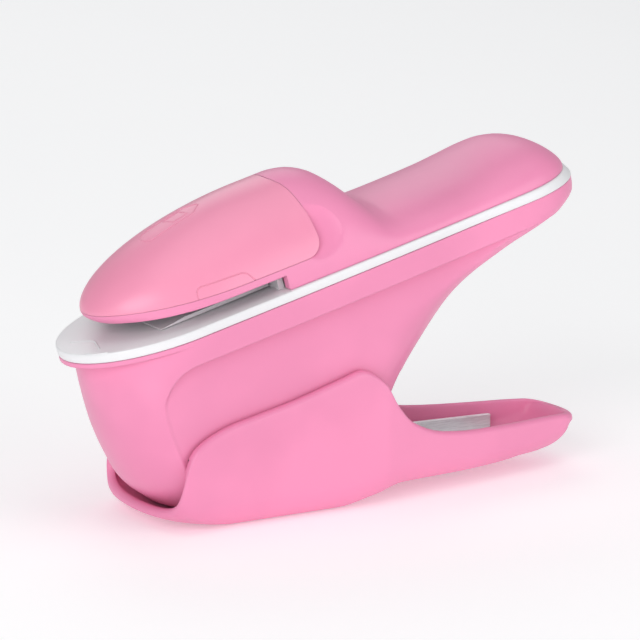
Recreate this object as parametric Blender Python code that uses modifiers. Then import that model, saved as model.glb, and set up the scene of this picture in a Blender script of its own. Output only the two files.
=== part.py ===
"""Hand-held staple-free stapler.

A squeeze lever (the piece that rests on the desk) carries a hinged upper body: a white paper deck
between a hull and a handle shell, with a domed head over the paper throat.  Squeezing the handle
towards the lever lifts a punch carriage through the deck: it cuts an arrow-shaped tab and a slit,
and a small finger tucks the tab in.

World frame: +Z up, +X towards the tail of the handle, origin on the lever's flat resting face.
Body frame: x along the deck towards the tail, z up from the deck, tilted BODY_TILT about Y.
The left side is -Y.  Dimensions are in millimetres and degrees; meshes are written in metres.
"""
import math
from collections import namedtuple

import bmesh
import bpy
from mathutils import Matrix, Vector

for old in list(bpy.data.objects):
    bpy.data.objects.remove(old, do_unlink=True)

# ---------------------------------------------------------------- driving dimensions
MM = 0.001
GAP = 0.3                        # working clearance between neighbouring pieces
WALL = 2.2                       # moulded wall thickness
STEEL = 1.2                      # sheet thickness of the channel and the frame plates
SIDES = (("left", -1), ("right", 1))

# joints; all but BODY_ORIGIN are body-frame (x, z)
BODY_TILT = 14.3                 # deck angle at rest
BODY_ORIGIN = (-49.9, 43.68)     # world (X, Z) of the body frame's origin
PIVOT = (26.0, -35.5)
DRIVE = (51.0, -35.5)
SLIDE_AXIS = (42.0, -30.0)
FINGER_AXIS = (39.0, -11.5)
COVER_AXIS = (9.9, 5.8)

# pin radii
PIVOT_PIN_R, DRIVE_PIN_R, FINGER_PIN_R, DIE_PIN_R = 2.4, 1.5, 0.85, 0.9
SPACER_R = 1.4                   # reduced ends of the frame spacers

# distances of the steel walls from the middle plane
PLATE_IN = 4.7
PLATE_OUT = PLATE_IN + STEEL
FLANGE_IN = 6.3
FLANGE_OUT = FLANGE_IN + STEEL

DECK_NOSE, DECK_NOSE_LEN = 1.5, 28.0
DECK_TAIL, DECK_TAIL_LEN = 141.6, 20.6      # of the deck's top outline
DECK_HALF = 20.4
SIDE_BULGE = 0.6                 # the long sides bow outwards a little
TAIL_POWER = 2.5                 # superellipse power of the rounded tail

# name, x and bottom z of the boss of the screws that hold hull, deck and shell together
HANDLE_SCREWS = (("front", 108.0, -17.6), ("rear", 124.0, -13.6))
# name, x and z of the pins through the die block and frame plates
DIE_PINS = (("front", 32.1, 7.4), ("rear", 52.3, 7.4))


# ---------------------------------------------------------------- curves and frames
def smooth_table(points):
    """Monotone cubic curve through (station, value) pairs, held constant beyond the ends."""
    xs = [p[0] for p in points]
    ys = [p[1] for p in points]
    slopes = [(ys[i + 1] - ys[i]) / (xs[i + 1] - xs[i]) for i in range(len(xs) - 1)]
    tangents = [slopes[0]]
    for before, after in zip(slopes, slopes[1:]):
        turning = before * after <= 0
        tangents.append(0.0 if turning else 2 * before * after / (before + after))
    tangents.append(slopes[-1])

    def value(x):
        x = min(max(x, xs[0]), xs[-1])
        i = max(k for k in range(len(slopes)) if xs[k] <= x)
        length = xs[i + 1] - xs[i]
        t = (x - xs[i]) / length
        return ((1 + 2 * t) * (1 - t) ** 2 * ys[i]
                + t * (1 - t) ** 2 * length * tangents[i]
                + t * t * (3 - 2 * t) * ys[i + 1]
                + t * t * (t - 1) * length * tangents[i + 1])
    return value


def clamp01(t):
    return min(max(t, 0.0), 1.0)


def smoothstep(t):
    t = clamp01(t)
    return t * t * (3 - 2 * t)


def ease(t, power=2.0):
    """0..1 quarter-superellipse factor."""
    return max(0.0, 1 - (1 - clamp01(t)) ** power) ** (1 / power)


def bulge(x, start=30.0, length=90.0):
    """Extra half-width of a bowed long side."""
    return SIDE_BULGE * math.sin(math.pi * clamp01((x - start) / length))


def across(half):
    """Range that lies evenly about the middle plane."""
    return -half, half


def side_range(side, near, far):
    """y range between two distances from the middle plane, on one side (-1 or 1)."""
    return sorted((side * near, side * far))


def to_world(x, z):
    """Body-frame (x, z) to world (X, Z)."""
    tilt = math.radians(BODY_TILT)
    return (BODY_ORIGIN[0] + x * math.cos(tilt) - z * math.sin(tilt),
            BODY_ORIGIN[1] + x * math.sin(tilt) + z * math.cos(tilt))


def metres(*lengths):
    return tuple(length * MM for length in lengths)


# ---------------------------------------------------------------- collections and materials
product = bpy.data.collections.new("staple_free_stapler")
cutters = bpy.data.collections.new("cutters")
for collection in (product, cutters):
    bpy.context.scene.collection.children.link(collection)
cutters.hide_render = True


def material(name, colour, roughness, metallic=0.0, coat=0.0):
    mat = bpy.data.materials.new(name)
    mat.use_nodes = True
    shader = mat.node_tree.nodes["Principled BSDF"]
    shader.inputs["Base Color"].default_value = (*colour, 1)
    shader.inputs["Roughness"].default_value = roughness
    shader.inputs["Metallic"].default_value = metallic
    shader.inputs["Coat Weight"].default_value = coat
    mat.diffuse_color = (*colour, 1)
    return mat


PINK = material("satin_pink_abs", colour=(0.86, 0.32, 0.50), roughness=0.42)
GLOSS = material("gloss_pink_abs", colour=(0.90, 0.36, 0.48), roughness=0.22, coat=0.3)
WHITE = material("white_abs", colour=(0.80, 0.81, 0.83), roughness=0.40)
GREY = material("grey_abs", colour=(0.42, 0.42, 0.45), roughness=0.50)
PLATED = material("plated_steel", colour=(0.55, 0.56, 0.57), roughness=0.38, metallic=1.0)
BLADE = material("hardened_steel", colour=(0.62, 0.63, 0.65), roughness=0.25, metallic=1.0)
PIN = material("turned_steel", colour=(0.58, 0.58, 0.60), roughness=0.30, metallic=1.0)
SPRING = material("spring_steel", colour=(0.35, 0.35, 0.37), roughness=0.35, metallic=1.0)


# ---------------------------------------------------------------- joint empties
def joint(name, place, parent=None, parent_place=(0.0, 0.0), tilt=0.0):
    """Empty at (x, z); place and parent_place are measured in the same frame."""
    empty = bpy.data.objects.new(name, None)
    empty.empty_display_size = 0.01
    product.objects.link(empty)
    empty.parent = parent
    empty.location = metres(place[0] - parent_place[0], 0, place[1] - parent_place[1])
    empty.rotation_euler = (0, tilt, 0)
    return empty


PIVOT_X, PIVOT_Z = to_world(*PIVOT)
DRIVE_X, DRIVE_Z = to_world(*DRIVE)
main_axis = joint("main_hinge_axis", (PIVOT_X, PIVOT_Z), tilt=-math.radians(BODY_TILT))
slide_axis = joint("punch_slide_axis", SLIDE_AXIS, main_axis, PIVOT)
finger_axis = joint("finger_axis", FINGER_AXIS, slide_axis, SLIDE_AXIS)
cover_axis = joint("cover_axis", COVER_AXIS, main_axis, PIVOT)

# home: (parent empty, its place); lever pieces use world coordinates, the others body ones
HOMES = {
    "lever": (None, (0, 0)),
    "body": (main_axis, PIVOT),
    "punch": (slide_axis, SLIDE_AXIS),
    "finger": (finger_axis, FINGER_AXIS),
    "cover": (cover_axis, COVER_AXIS),
}


# ---------------------------------------------------------------- objects
def finish(bm, name, angle=35):
    """Smooth-shaded mesh with edges sharper than angle marked sharp."""
    bmesh.ops.recalc_face_normals(bm, faces=bm.faces)
    mesh = bpy.data.meshes.new(name)
    bm.to_mesh(mesh)
    bm.free()
    mesh.shade_smooth()
    mesh.set_sharp_from_angle(angle=math.radians(angle))
    return mesh


def add(name, mesh, mat, home):
    obj = bpy.data.objects.new(name, mesh)
    product.objects.link(obj)
    parent, origin = HOMES[home]
    obj.parent = parent
    obj.location = metres(-origin[0], 0, -origin[1])
    mesh.materials.append(mat)
    return obj


def piece(name, bm, mat, home, angle=35):
    return add(name, finish(bm, name, angle), mat, home)


def combine(target, name, bm, operation="DIFFERENCE"):
    """Adds a hidden helper in the target's own frame and the boolean that uses it."""
    helper = bpy.data.objects.new(name, finish(bm, name))
    cutters.objects.link(helper)
    helper.parent = target.parent
    helper.location = target.location
    helper.hide_render = True
    helper.display_type = "WIRE"
    modifier = target.modifiers.new(name, "BOOLEAN")
    modifier.operation = operation
    modifier.object = helper
    modifier.solver = "EXACT"


def turned(name, profile, home, axis, centre, steps):
    """Turned steel part; profile is (radius, station) along axis, from the far end back."""
    bm = bmesh.new()
    verts = [bm.verts.new(metres(radius, 0, station)) for radius, station in profile]
    for a, b in zip(verts, verts[1:]):
        bm.edges.new((a, b))
    mesh = bpy.data.meshes.new(name)
    bm.to_mesh(mesh)
    bm.free()
    obj = add(name, mesh, PIN, home)
    if axis == "y":
        obj.rotation_euler = (-math.pi / 2, 0, 0)
        offset = metres(centre[0], 0, centre[1])
    else:
        offset = metres(centre[0], centre[1], 0)
    obj.location = Vector(obj.location) + Vector(offset)
    modifier = obj.modifiers.new("turn", "SCREW")
    modifier.steps = modifier.render_steps = steps
    modifier.use_merge_vertices = True
    modifier.merge_threshold = 0.00001


def both_ends(half):
    """Turning profile completed by its mirror image."""
    return half + [(radius, -station) for radius, station in reversed(half)]


# ---------------------------------------------------------------- shape makers
def extrude(outline, shift):
    """Flat 3D outline swept by shift."""
    bm = bmesh.new()
    face = bm.faces.new([bm.verts.new(metres(*point)) for point in outline])
    swept = bmesh.ops.extrude_face_region(bm, geom=[face])["geom"]
    moved = [v for v in swept if isinstance(v, bmesh.types.BMVert)]
    bmesh.ops.translate(bm, verts=moved, vec=metres(*shift))
    return bm


def prism(points, y_range):
    """Outline in the x-z plane, extruded along y."""
    y0, y1 = y_range
    return extrude([(x, y0, z) for x, z in points], (0, y1 - y0, 0))


def slab(points, z_range):
    """Outline in the x-y plane, extruded along z."""
    z0, z1 = z_range
    return extrude([(x, y, z0) for x, y in points], (0, 0, z1 - z0))


def box(*ranges):
    """Block from its x, y and z ranges."""
    bm = bmesh.new()
    bmesh.ops.create_cube(bm, size=1.0)
    size = metres(*(high - low for low, high in ranges))
    centre = metres(*((low + high) / 2 for low, high in ranges))
    bmesh.ops.scale(bm, vec=size, verts=bm.verts)
    bmesh.ops.translate(bm, vec=centre, verts=bm.verts)
    return bm


def rod(radius, axis, centre, ends, segments=20, end_radius=None):
    """Cylinder or cone along 'y' or 'z'; centre holds the other two coordinates."""
    start, stop = ends
    bm = bmesh.new()
    bmesh.ops.create_cone(
        bm, cap_ends=True, segments=segments, radius1=radius * MM,
        radius2=(radius if end_radius is None else end_radius) * MM, depth=(stop - start) * MM)
    middle = (start + stop) / 2
    if axis == "y":
        turn = Matrix.Rotation(-math.pi / 2, 3, "X")
        bmesh.ops.rotate(bm, cent=(0, 0, 0), matrix=turn, verts=bm.verts)
        place = (centre[0], middle, centre[1])
    else:
        place = (centre[0], centre[1], middle)
    bmesh.ops.translate(bm, vec=metres(*place), verts=bm.verts)
    return bm


def loft(rings, closed=False):
    """Skin between rings of equal length; closed joins the last ring to the first."""
    bm = bmesh.new()
    rows = [[bm.verts.new(metres(*point)) for point in ring] for ring in rings]
    pairs = list(zip(rows, rows[1:])) + ([(rows[-1], rows[0])] if closed else [])
    for a, b in pairs:
        for i in range(len(a)):
            j = (i + 1) % len(a)
            bm.faces.new((a[i], a[j], b[j], b[i]))
    return bm, rows


def capped_loft(rings):
    bm, rows = loft(rings)
    bm.faces.new(rows[0])
    bm.faces.new(list(reversed(rows[-1])))
    return bm


def mirror_ring(half):
    """Half outline from nose to tail (y=0 at both), completed on the other side."""
    return half + [(x, -y, z) for x, y, z in reversed(half[1:-1])]


def ladder(bm, ring):
    """Closes a mirrored ring with rungs across the middle plane."""
    count = len(ring)
    for i in range(count // 2):
        corners = (ring[i], ring[i + 1], ring[(count - i - 1) % count], ring[(count - i) % count])
        bm.faces.new(list(dict.fromkeys(corners)))   # the end faces are triangles


# ---------------------------------------------------------------- lever shell
LEVER_HALF = 20.6
LEVER_CORNER, LEVER_CORNER_HALF, LEVER_TAIL = 86.0, 12.0, 90.6
LEVER_TAPER_FROM = 30.0
LEVER_WALL = WALL - 0.1
KEEL_TAIL = 76.0                 # from here the keel rises only towards the foot of the wall

# (y, x) of the nose wall's foot
lever_nose_low = smooth_table([
    (0.0, -30.3), (5.0, -30.15), (9.5, -29.7), (13.5, -29.0), (16.8, -28.0), (18.6, -27.1),
    (19.6, -26.3), (20.3, -25.3), (20.6, -24.2)])
# (y, x) of the nose wall's top
lever_nose_top = smooth_table([
    (0.0, -30.3), (8.0, -30.2), (13.0, -30.0), (16.5, -29.6), (18.4, -29.2), (19.5, -28.7),
    (20.2, -28.1), (20.5, -27.3), (20.6, -26.4)])
# (x, z) of the rim
rim_height = smooth_table([
    (-30.3, 5.4), (-29.3, 5.4), (-28.7, 5.8), (-28.3, 6.8), (-28.0, 8.4), (-27.5, 11.0),
    (-26.7, 13.8), (-25.6, 17.0), (-24.3, 19.3), (-22.2, 21.6), (-19.5, 23.5), (-17.0, 24.6),
    (-13.9, 25.7), (-5.7, 27.6), (2.5, 29.4), (13.0, 32.3), (17.5, 33.6), (22.4, 34.9),
    (28.6, 31.6), (33.0, 25.0), (38.0, 19.8), (47.6, 15.8), (60.0, 14.3), (74.0, 13.9),
    (82.0, 13.8), (86.0, 13.7), (88.5, 13.5), (90.6, 13.2)])
# (x, z) of the underside
keel = smooth_table([
    (-16.0, 0.0), (18.0, 0.0), (27.0, 1.5), (37.0, 3.6), (45.0, 3.7), (70.0, 3.8), (76.0, 4.2),
    (80.0, 4.9), (84.0, 6.2), (87.0, 7.9), (89.0, 9.6), (90.6, 11.2)])

LEVER_NOSE_ANGLES = (0, 14, 27, 40, 54, 62, 67, 72, 77, 83, 90)
LEVER_SIDE_XS = (-22.4, -19.5, -15, -8, 2, 12, 18, 22.4, 26, 29, 32, 35, 39, 44, 51, 60, 69, 76,
                 81, 84)
LEVER_TAIL_ANGLES = (0, 18, 36, 54, 72, 90)

# (inset, turn, rise) of each ring: up the outside, over the rim and down the inside
LEVER_RINGS = (
    [(0, turn, 0) for turn in (0, 0.3, 0.55, 0.78, 1.0)] + [(0, 1, 0.5), (0, 1, 1.0)]
    + [(LEVER_WALL, 1, 1.0), (LEVER_WALL, 1, 0.5)]
    + [(LEVER_WALL, turn, 0) for turn in (1.0, 0.7, 0.4, 0)])

# one place along the half outline: wall and foot of the rounding, outward normal, wall's top x
Station = namedtuple("Station", "wall_x wall_y foot_x foot_y normal_x normal_y top_x")


def corner_width(x):
    """Horizontal size of the rounding between floor and wall; tighter towards the tail."""
    return 7.2 - 2.7 * smoothstep((x - 30) / 30)


def corner_height(x):
    return 7.4 - 2.9 * smoothstep((x - 30) / 30)


def nose_normal(y):
    if y <= 0:
        return -1.0, 0.0
    if y >= LEVER_HALF:
        return 0.0, 1.0
    low, high = max(y - 0.05, 0), min(y + 0.05, LEVER_HALF)
    slope = (lever_nose_low(high) - lever_nose_low(low)) / (high - low)
    length = math.hypot(1, slope)
    return -1 / length, slope / length


def nose_station(degrees):
    angle = math.radians(degrees)
    y = LEVER_HALF * math.sin(angle)
    foot = (-5.5 - 6.5 * math.cos(angle), 12.5 * math.sin(angle))
    return Station(lever_nose_low(y), y, *foot, *nose_normal(y), lever_nose_top(y))


def side_station(x):
    taper = (LEVER_HALF - LEVER_CORNER_HALF) / (LEVER_CORNER - LEVER_TAPER_FROM)
    half = LEVER_HALF - taper * max(0, x - LEVER_TAPER_FROM)
    slope = 0.0 if x < LEVER_TAPER_FROM else taper
    length = math.hypot(1, slope)
    foot_x = x + 18 * (1 - smoothstep((x + 24) / 34)) - 8 * smoothstep((x - 55) / 34)
    foot_y = max(half - corner_width(x), 2.0)
    return Station(x, half, foot_x, foot_y, slope / length, 1 / length, x)


def tail_station(degrees):
    sine, cosine = math.sin(math.radians(degrees)), math.cos(math.radians(degrees))
    corner_length = LEVER_TAIL - LEVER_CORNER
    wall_x = LEVER_CORNER + corner_length * sine
    normal_x, normal_y = sine / corner_length, cosine / LEVER_CORNER_HALF
    length = math.hypot(normal_x, normal_y)
    return Station(wall_x, LEVER_CORNER_HALF * cosine,
                   77 + 4 * sine, (LEVER_CORNER_HALF - 4.8) * cosine,
                   normal_x / length, normal_y / length, wall_x)


def lever_floor(station, turn):
    """Height of the underside that the rounding starts from."""
    wall_keel = keel(station.wall_x)
    if station.wall_x >= KEEL_TAIL:
        return keel(KEEL_TAIL) + (wall_keel - keel(KEEL_TAIL)) * turn ** 2
    base_x = station.foot_x
    if station.wall_x > 40:
        base_x = min(station.wall_x, station.foot_x + 30)
    return min(wall_keel, keel(base_x))


def lever_ring(stations, inset, turn, rise):
    """turn 0..1 runs round the bottom corner, rise 0..1 climbs the wall."""
    points = []
    for place in stations:
        wall_x = place.wall_x - inset * place.normal_x
        wall_y = place.wall_y - inset * place.normal_y
        if place.wall_y < 1e-6:
            wall_y = 0.0
        low, top = lever_floor(place, turn), rim_height(place.top_x)
        height = corner_height(place.wall_x)
        last = math.acos(1 - min((top - low) * 0.85 / height, 1.0))
        angle = last * turn
        reach = math.sin(angle)
        x = place.foot_x + (wall_x - place.foot_x) * reach / math.sin(last)
        y = place.foot_y + (wall_y - place.foot_y) * reach / math.sin(last)
        z = low + inset + max(height - inset, 0.6) * (1 - math.cos(angle))
        z += (top - z) * rise
        x += (place.top_x - place.wall_x) * smoothstep((z - 2.0) / 8.0)
        points.append((x, -max(y, 0.0), z))
    for end in (0, -1):
        points[end] = (points[end][0], 0.0, points[end][2])
    return mirror_ring(points)


def lever_solid():
    stations = [nose_station(degrees) for degrees in LEVER_NOSE_ANGLES]
    stations += [side_station(x) for x in LEVER_SIDE_XS]
    stations += [tail_station(degrees) for degrees in LEVER_TAIL_ANGLES]
    bm, rows = loft([lever_ring(stations, *ring) for ring in LEVER_RINGS])
    ladder(bm, rows[0])
    ladder(bm, rows[-1])
    bmesh.ops.remove_doubles(bm, verts=bm.verts, dist=1e-6)
    return bm


# ---------------------------------------------------------------- lever channel and screws
BASE_Z, TAIL_Z = 2.9, 6.6        # underside of the channel's web, front and rear
CHANNEL_FRONT, CHANNEL_END, TONGUE_END = -16.5, 75.7, 81.5
CHANNEL_BASE = [(CHANNEL_FRONT, BASE_Z), (22.0, BASE_Z), (38.0, TAIL_Z), (CHANNEL_END, TAIL_Z)]
EAR_R = 5.0                      # rounded front corner of the flange around the pivot
FLANGE_TOP = [(1.0, 26.0), (6.0, 27.0), (11.0, 26.4), (24.0, 18.5), (46.0, 12.4),
              (CHANNEL_END, 11.6)]
TONGUE = [(70.0, -6.0), (78.0, -4.6), (TONGUE_END, -2.4),
          (TONGUE_END, 2.4), (78.0, 4.6), (70.0, 6.0)]
# name, x and height of the web's underside there
LEVER_SCREWS = (("front", -9.0, BASE_Z), ("rear", 58.0, TAIL_Z))
LEVER_PINS = (("pivot", PIVOT_X, PIVOT_Z, PIVOT_PIN_R), ("drive", DRIVE_X, DRIVE_Z, DRIVE_PIN_R))
LEVER_BORE = across(12.0)        # y range of the helpers that cut right across the lever


def build_lever_channel():
    """U-section: the left flange with its web, far flange and rear tongue joined on."""
    ear = []
    for degrees in (0, 30, 60, 90):
        angle = math.radians(degrees)
        ear.append((PIVOT_X - EAR_R * math.cos(angle), PIVOT_Z + EAR_R * math.sin(angle)))
    flange = CHANNEL_BASE[::-1] + [(PIVOT_X - EAR_R, 9.0)] + ear + FLANGE_TOP
    web = CHANNEL_BASE + [(x, z + STEEL) for x, z in reversed(CHANNEL_BASE)]
    # the web and tongue are shaved slightly so that their faces don't coincide
    tongue_range = (TAIL_Z + 0.02, TAIL_Z + STEEL - 0.02)
    channel = piece("lever_channel", prism(flange, side_range(-1, FLANGE_IN, FLANGE_OUT)),
                    PLATED, "lever", angle=25)
    combine(channel, "channel_web", prism(web, across(FLANGE_OUT - 0.01)), "UNION")
    combine(channel, "channel_far_flange", prism(flange, (FLANGE_IN, FLANGE_OUT)), "UNION")
    combine(channel, "channel_tongue", slab(TONGUE, tongue_range), "UNION")
    for label, x, z, radius in LEVER_PINS:
        hole = rod(radius + GAP, "y", (x, z), LEVER_BORE)
        combine(channel, f"channel_{label}_hole", hole)
    for label, x, z in LEVER_SCREWS:
        hole = rod(1.65, "z", (x, 0), (z - 2, z + 4), 16)
        combine(channel, f"channel_{label}_screw_hole", hole)


def build_lever_shell():
    shell = piece("lever_shell", lever_solid(), PINK, "lever")
    for label, x, _ in LEVER_SCREWS:
        z = keel(x)
        pocket = rod(3.3, "z", (x, 0), (z - 0.4, z + 1.6), end_radius=1.75)
        combine(shell, f"lever_{label}_screw_pocket", pocket)
        combine(shell, f"lever_{label}_screw_through", rod(1.75, "z", (x, 0), (z - 1, z + 5)))


def build_lever_screws():
    """Countersunk screws from below the lever into the channel's web."""
    for label, x, web_z in LEVER_SCREWS:
        low, top = keel(x), web_z + STEEL
        profile = [(0, top + 1.6), (1.0, top + 1.6), (1.35, top + 1.2), (1.35, low + 1.75),
                   (2.7, low + 0.35), (2.7, low + 0.12), (0, low + 0.12)]
        turned(f"lever_screw_{label}", profile, "lever", "z", (x, 0), steps=18)


def build_pin_with_clips(name, clip, centre, radius, reach, groove):
    """Pin across the lever, with an open clip in a groove outside each flange."""
    groove_in = FLANGE_OUT + 0.35
    groove_out = groove_in + groove
    core = radius - 0.6
    half = [(0, reach), (radius - 0.3, reach), (radius, reach - 0.3), (radius, groove_out),
            (core, groove_out), (core, groove_in), (radius, groove_in)]
    turned(name, both_ends(half), "lever", "y", centre, steps=20)
    x, z = centre
    for label, side in SIDES:
        clip_range = side_range(side, groove_in + 0.1, groove_out - 0.1)
        disc = piece(f"{clip}_{label}", rod(radius + 1.7, "y", centre, clip_range),
                     SPRING, "lever")
        combine(disc, f"{clip}_{label}_bore", rod(radius - 0.3, "y", centre, LEVER_BORE))
        mouth = box((x - 0.8 * radius, x + 0.8 * radius), LEVER_BORE, (z - radius - 3, z))
        combine(disc, f"{clip}_{label}_mouth", mouth)


# ---------------------------------------------------------------- return spring
SPRING_X, SPRING_LOW, SPRING_HIGH = 20.3, 4.4, 31.6
SPRING_R, SPRING_WIRE_R = 3.6, 0.5
SPRING_TURNS, SPRING_TURN_STEPS = 8.0, 14
SPRING_END_RISE = 0.14           # rise of each flat end turn, as a share of a working turn's


def spring_rise(turn):
    """Share 0..1 of the coil's height reached after a number of turns."""
    working = SPRING_TURNS - 2
    if turn <= 1:
        climbed = SPRING_END_RISE * turn
    elif turn < SPRING_TURNS - 1:
        climbed = turn - 1 + SPRING_END_RISE
    else:
        climbed = working + SPRING_END_RISE * (1 + turn - SPRING_TURNS + 1)
    return climbed / (working + 2 * SPRING_END_RISE)


def build_return_spring():
    """Coil between the channel's web and the seat on the frame."""
    curve = bpy.data.curves.new("return_spring", "CURVE")
    curve.dimensions = "3D"
    curve.bevel_depth = SPRING_WIRE_R * MM
    curve.bevel_resolution = 1
    curve.use_fill_caps = True
    curve.materials.append(SPRING)
    steps = int(SPRING_TURNS * SPRING_TURN_STEPS)
    line = curve.splines.new("POLY")
    line.points.add(steps)
    low, high = SPRING_LOW + SPRING_WIRE_R + 0.05, SPRING_HIGH - SPRING_WIRE_R
    for i in range(steps + 1):
        turn = i / steps * SPRING_TURNS
        angle = 2 * math.pi * turn
        point = metres(SPRING_X + SPRING_R * math.cos(angle), SPRING_R * math.sin(angle),
                       low + (high - low) * spring_rise(turn))
        line.points[i].co = (*point, 1)
    product.objects.link(bpy.data.objects.new("return_spring", curve))


# ---------------------------------------------------------------- hull under the deck
HULL_TOP = 2.65                  # depth of the hull's top edge under the deck surface
HULL_MARGIN = 0.1                # the hull's outline lies this much inside the deck's
HULL_HALF = DECK_HALF - HULL_MARGIN
FLANGE_LOW = 3.6                 # lower edge of the rim whose nose follows the deck's
BAND_LOW = 8.4                   # lower edge of the full-width band
RECESS_TOP = 8.8                 # start of the recessed side panels
PANEL_HALF = 17.9                # half-width between the recessed side panels
HULL_DEPTH = 41.5
HULL_DROP, DROP_FROM = 3.2, 34.0  # the nose reaches lower than the rest, from this depth on

# (depth, x of the nose) and (depth, length of the nose rounding)
hull_nose = smooth_table([
    (3.9, 5.4), (9.0, 5.3), (14.0, 5.5), (21.0, 5.8), (27.0, 6.6), (32.0, 7.7), (36.0, 8.8),
    (39.0, 10.3), (41.5, 12.2), (45.5, 15.6)])
hull_nose_len = smooth_table([
    (3.9, 24.9), (9.0, 22.4), (13.0, 19.0), (16.0, 17.9), (26.0, 17.2), (34.0, 16.6),
    (41.5, 15.5)])
# (depth, x of the tail) and (depth, length of the tail rounding)
hull_tail = smooth_table([
    (2.6, 143.1), (5.5, 142.8), (8.4, 139.4), (10.5, 133.6), (12.0, 128.0), (13.5, 122.4),
    (15.2, 116.6), (17.0, 112.0), (20.5, 105.6), (24.0, 100.4), (28.5, 94.6), (33.0, 89.2),
    (37.0, 85.3), (41.5, 81.5)])
hull_tail_len = smooth_table([
    (2.6, 21.0), (8.4, 21.0), (12.0, 22.0), (16.0, 24.0), (22.0, 26.0), (28.0, 26.0),
    (34.0, 26.0), (41.5, 25.0)])

PANEL_DEPTHS = (HULL_DEPTH, 38.0, 34.0, 30.0, 25.5, 21.0, 17.5, 15.0, 13.2, 11.6, 10.2,
                RECESS_TOP)
# (depth, depth whose outer outline the inner wall follows)
INNER_DEPTHS = ((HULL_TOP, 4.5), (5.5, 8.4), (8.0, 11.2), (10.5, 14.0), (13.5, 17.0),
                (18.0, 20.5), (24.0, 25.5), (30.0, 31.0), (36.0, 36.5), (HULL_DEPTH, HULL_DEPTH))
# shares of the arc before and after the panel's crease, and of the tail rounding
NOSE_SHARES = (0, 0.16, 0.32, 0.48, 0.64, 0.82, 1.0)
CREASE_SHARES = (0.5, 1.0)
TAIL_SHARES = (0, 0.2, 0.4, 0.58, 0.74, 0.88, 1.0)

HULL_NOTCH = ((74, 100), across(11.5), (-43, -34))       # clears the lever channel


def hull_ring(depth, shape_depth=None, inset=0.0, recessed=False, flange=False):
    """Outline at a depth under the deck: elliptical nose, straight sides, rounded tail."""
    shape = depth if shape_depth is None else shape_depth
    drop = HULL_DROP * clamp01((shape - DROP_FROM) / (HULL_DEPTH - DROP_FROM))
    if flange:
        nose, nose_len = DECK_NOSE + HULL_MARGIN, DECK_NOSE_LEN
    else:
        nose, nose_len = hull_nose(shape + drop) + inset, hull_nose_len(shape) - inset
    tail, tail_len = hull_tail(shape) - inset, hull_tail_len(shape) - inset
    half = HULL_HALF - inset
    panel = PANEL_HALF - inset
    limit = panel if recessed else math.inf

    crease = math.asin(min(1.0, panel / half))
    angles = [crease * share for share in NOSE_SHARES]
    angles += [crease + (math.pi / 2 - crease) * share for share in CREASE_SHARES]
    points = [(nose + nose_len * (1 - math.cos(a)), -min(half * math.sin(a), limit))
              for a in angles]

    side_from, side_to = nose + nose_len, tail - tail_len
    for i in range(1, 6):
        x = side_from + (side_to - side_from) * i / 6
        points.append((x, -panel if recessed else -(half + bulge(x))))

    tail_half = min(half, limit)
    power = TAIL_POWER - (TAIL_POWER - 2.0) * smoothstep((shape - 9.0) / 12.0)
    for share in TAIL_SHARES:
        angle = math.pi / 2 * share
        points.append((side_to + tail_len * math.sin(angle) ** (2 / power),
                       -tail_half * max(math.cos(angle), 0.0) ** (2 / power)))
    points[-1] = (points[-1][0], 0.0)
    return mirror_ring([(x, y, -depth - drop * (1 - smoothstep((x - 24.0) / 16)))
                        for x, y in points])


def hull_solid():
    """Rings up the outside from the bottom edge, over the top and down the inside."""
    rings = [hull_ring(depth, recessed=True) for depth in PANEL_DEPTHS]
    rings += [hull_ring(depth) for depth in (BAND_LOW, FLANGE_LOW + 0.4)]
    rings += [hull_ring(depth, flange=True) for depth in (FLANGE_LOW, HULL_TOP)]
    rings += [hull_ring(depth, shape, WALL, recessed=True) for depth, shape in INNER_DEPTHS]
    return loft(rings, closed=True)[0]


def build_hull():
    hull = piece("lower_body_shell", hull_solid(), PINK, "body")
    combine(hull, "hull_channel_notch", box(*HULL_NOTCH))
    for label, x, bottom in HANDLE_SCREWS:
        boss = rod(4.2, "z", (x, 0), (bottom + 0.8, -HULL_TOP), end_radius=4.0)
        combine(hull, f"hull_boss_{label}", boss, "UNION")
    for label, x, bottom in HANDLE_SCREWS:
        combine(hull, f"hull_sink_{label}", rod(3.2, "z", (x, 0), (bottom - 6, -8.2)))
        combine(hull, f"hull_hole_{label}", rod(1.8, "z", (x, 0), (bottom - 6, 2), 16))


def build_handle_screws():
    profile = [(0, 5.0), (0.8, 5.0), (1.5, 4.0), (1.5, -8.5), (2.8, -8.5), (2.8, -9.6),
               (2.2, -10.4), (0, -10.4)]
    for label, x, _ in HANDLE_SCREWS:
        turned(f"handle_screw_{label}", profile, "body", "z", (x, 0), steps=18)


# ---------------------------------------------------------------- deck plate and punch guide
DECK_SLOPE = 1.5                 # the end face leans out this much towards its underside
DECK_THICK = 2.35
DECK_NOSE_STEPS, DECK_SIDE_STEPS, DECK_TAIL_STEPS = 10, 9, 10
DECK_CUT = (-4, 2)               # z range of the helpers that pierce the deck
PAPER_STOP = ((52.7, 54.3), across(16.6), (-1.0, 3.3))
FRAME_SLOT_X, FRAME_SLOT_GAP = (56.8, 74.5), 0.4
DECK_WINDOW_X, DECK_WINDOW_HALF = (31.0, 52.0), 7.6      # filled by the punch guide's foot

GUIDE_SIDE = [(22.0, 0.3), (52.3, 0.3), (52.3, 1.2), (29.0, 1.2), (22.4, 0.45)]
GUIDE_HALF = 12.4
GUIDE_FOOT = ((DECK_WINDOW_X[0] + GAP, DECK_WINDOW_X[1] - GAP), across(DECK_WINDOW_HALF - GAP),
              (-2.9, 0.8))
GUIDE_WINDOW = ((33.6, 50.4), across(4.3), (-6, 3))


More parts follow.
